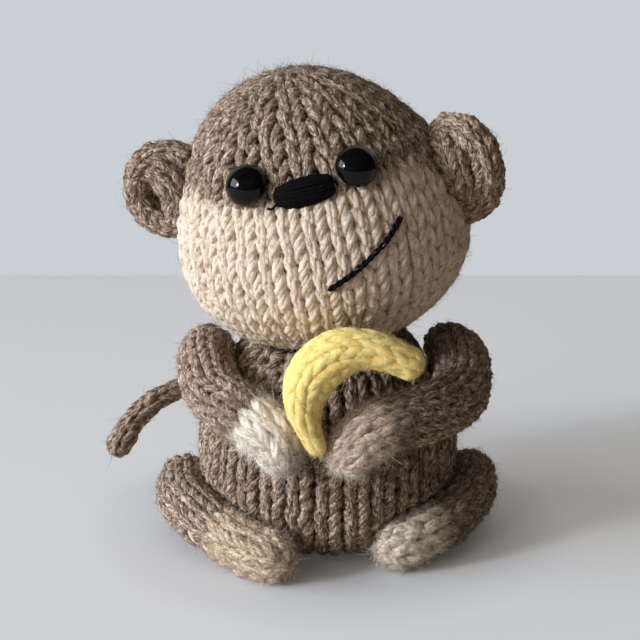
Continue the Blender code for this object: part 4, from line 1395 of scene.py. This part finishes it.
def make_tail(materials, shape):
    cover = ("tail_curl", "limb_yarn", ["tail"])
    looks = (materials["body"], materials["brown_fibre"])
    yarn = knit(shape, "tail", 0.0, shape.length, 61, fewer=1, most=4).plied()
    dress_knit("tail_{}", yarn, looks, cover, 1500, 62)
    lining = materials["brown_lining"]
    dress_lining("tail_lining", lining, cover, "tail", shape, 0.0, shape.length, 16, 60, fill=0.8)


def make_banana(materials, shape):
    cover = ("held_banana", "banana_yarn", ["banana"])
    looks = (materials["banana"], materials["banana_fibre"])
    yarn = knit(shape, "banana", 0.0, shape.length, 71, fewer=1, most=6, pull=0.0, lift=0.2)
    dress_knit("banana_{}", yarn, looks, cover, 13500, 72, length=0.0011, sides=9)
    lining = skin("banana_lining", shape, 0.0, shape.length, -BANANA_LINING_DEPTH, 24, 70)
    dress("banana_lining", lining, materials["banana_lining"], cover)


# Face

def eye_matrix(side):
    """The eye's own axes: Z out of the face, from a point on the head's outside."""
    azimuth, height_share = EYES[side]
    spot, normal = on_head(azimuth, CROWN_HEIGHT * height_share)
    axes = Vector(normal).to_track_quat("Z", "Y").to_matrix().to_4x4()
    return head_frame() @ Matrix.Translation(Vector(spot)) @ axes


def make_eyes(materials):
    """Each eye's glossy dome and shank, finely turned."""
    rim = np.linspace(-math.pi / 2, 0, 7)
    half = EYE_RIM / 2
    edge = np.stack([EYE_RADIUS - half + half * np.cos(rim), GAP + half + half * np.sin(rim)], 1)
    dome = quarter(EYE_RADIUS, EYE_DOME - half, 2, np.linspace(0, 1, 24))
    dome[:, 1] += GAP + half
    shank = np.array([[0.0, GAP - SHANK_LENGTH], [SHANK_RADIUS, GAP - SHANK_LENGTH], [SHANK_RADIUS, GAP]])
    profile = np.vstack([shank, edge, dome[1:]])
    for side in EYES:
        shape = Turned(profile, eye_matrix(side))
        name, cover = f"eye_{side}_bead", ("head", "eye_plastic", ["eye_" + side])
        dress(name, skin(name, shape, 0.0, shape.length, 0.0, 64, 120), materials["eye"], cover)


def face_line(places, offset, count):
    """A smooth line over the face through its places, and the way out of the head along it."""
    spots = smooth(places, np.linspace(0, 1, count))
    found = [on_head(azimuth, CROWN_HEIGHT * share, offset) for azimuth, share in spots]
    frame = head_frame()
    points = placed(frame, np.array([point for point, _ in found]))
    return points, turned_by(frame, np.array([normal for _, normal in found]))


def dress_black(name, node, strands, materials, seed):
    mesh = tube_mesh(name, strands_yarn(strands, seed), STRAND_SIDES)
    dress(name, mesh, materials["black"], ("head", "black_yarn", [node]))


def make_nose(materials):
    """Satin stitches that run the length of the nose, side by side over it, and meet at its ends."""
    count, bend = 30, np.radians(np.linspace(10, 84, 7))
    centres, normals = face_line(NOSE_PLACES, -NOSE_RADIUS * NOSE_SUNK_SHARE, count)
    widths = NOSE_RADIUS * smooth(NOSE_PLUMP_SHARES, np.linspace(0, 1, count))
    along = unit(np.gradient(centres, axis=0))
    ends = []
    for end, way in ((0, -1), (-1, 1)):
        reach = centres[end] + way * along[end] * (NOSE_BLUNT * widths[end] * np.sin(bend))[:, None]
        narrowed = widths[end] * np.cos(bend) ** 0.7
        ends.append((reach, np.tile(normals[end], (7, 1)), narrowed, np.tile(along[end], (7, 1))))
    first, last = ends
    centres, normals, widths, along = (
        np.concatenate([a[::-1], b, c]) for a, b, c in zip(first, (centres, normals, widths, along), last)
    )
    ups = np.cross(normals, along)
    chance = np.random.default_rng(81)
    size = NOSE_THREAD_RADIUS
    spots = np.linspace(0, 1, len(centres))
    radii = size * (0.55 + 0.45 * np.clip(widths / widths.max() * 1.4, 0, 1))
    strands = []
    for angle in np.radians(np.linspace(-NOSE_SPREAD_DEG, NOSE_SPREAD_DEG, NOSE_THREADS)):
        drift = np.radians(4) * np.sin(TAU * (spots * chance.uniform(0.3, 0.8) + chance.random()))
        way = normals * np.cos(angle + drift)[:, None] + ups * np.sin(angle + drift)[:, None]
        reach = np.maximum(widths - size + chance.normal(0, 0.00007), 0.0001)
        strands.append((centres + way * reach[:, None], way, radii))
    loose, _ = face_line(NOSE_LOOSE_END, NOSE_LOOSE_RAISED, 8)
    strands.append((loose, np.tile(normals[0], (8, 1)), np.full(8, size)))
    # A plump core fills the nose behind its threads.
    strands.append((centres, normals, np.maximum(widths - 1.4 * size, 0.0001)))
    dress_black("nose_stitches", "nose", strands, materials, 81)


def make_mouth(materials):
    """One strand of two plies, caught down along the smile."""
    count = 90
    centres, normals = face_line(MOUTH_PLACES, MOUTH_RADIUS * MOUTH_RAISED_SHARE, count)
    side = np.cross(normals, unit(np.gradient(centres, axis=0)))
    turn = TAU * arc_lengths(centres) / MOUTH_TWIST_PITCH
    strands = []
    for angle in (turn, turn + math.pi):
        way = normals * np.cos(angle)[:, None] + side * np.sin(angle)[:, None]
        strands.append((centres + way * MOUTH_RADIUS * 0.42, normals, np.full(count, MOUTH_RADIUS * 0.6)))
    dress_black("mouth_strand", "mouth", strands, materials, 91)


def make_limbs(materials, arms, legs, banana):
    def press_arm(points, room):
        return outside_line(outside_head(points, GAP + room), banana.core, GAP / 2 + room)

    arm_parts = (("arm_sleeve", "limb_yarn", "limb"), ("arm_paw", "paw_yarn", "limb"))
    leg_parts = (("leg", "limb_yarn", "limb"), ("foot", "foot_yarn", "foot"))
    for side in arms:
        make_limb(materials, "arm", side, arms[side], press_arm, arm_parts, 51)
        make_limb(materials, "leg", side, legs[side], above_floor, leg_parts, 56)


def main():
    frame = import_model()
    make_camera()
    make_stage()
    make_lights()
    materials = make_materials()
    arms = {side: arm_shape(side) for side in ARM_ROUTES}
    legs = {side: leg_shape(side) for side in LEG_ROUTES}
    tail, banana = tail_shape(), banana_shape()
    make_body(materials, [shape.core for shape in (*arms.values(), *legs.values(), tail)])
    make_head(materials)
    make_ears(materials)
    make_limbs(materials, arms, legs, banana)
    make_tail(materials, tail)
    make_banana(materials, banana)
    make_eyes(materials)
    make_nose(materials)
    make_mouth(materials)
    for side in EYES:
        washer = frame["nodes"]["eye_washer_" + side]
        washer.data.materials.clear()
        washer.data.materials.append(materials["washer"])


main()
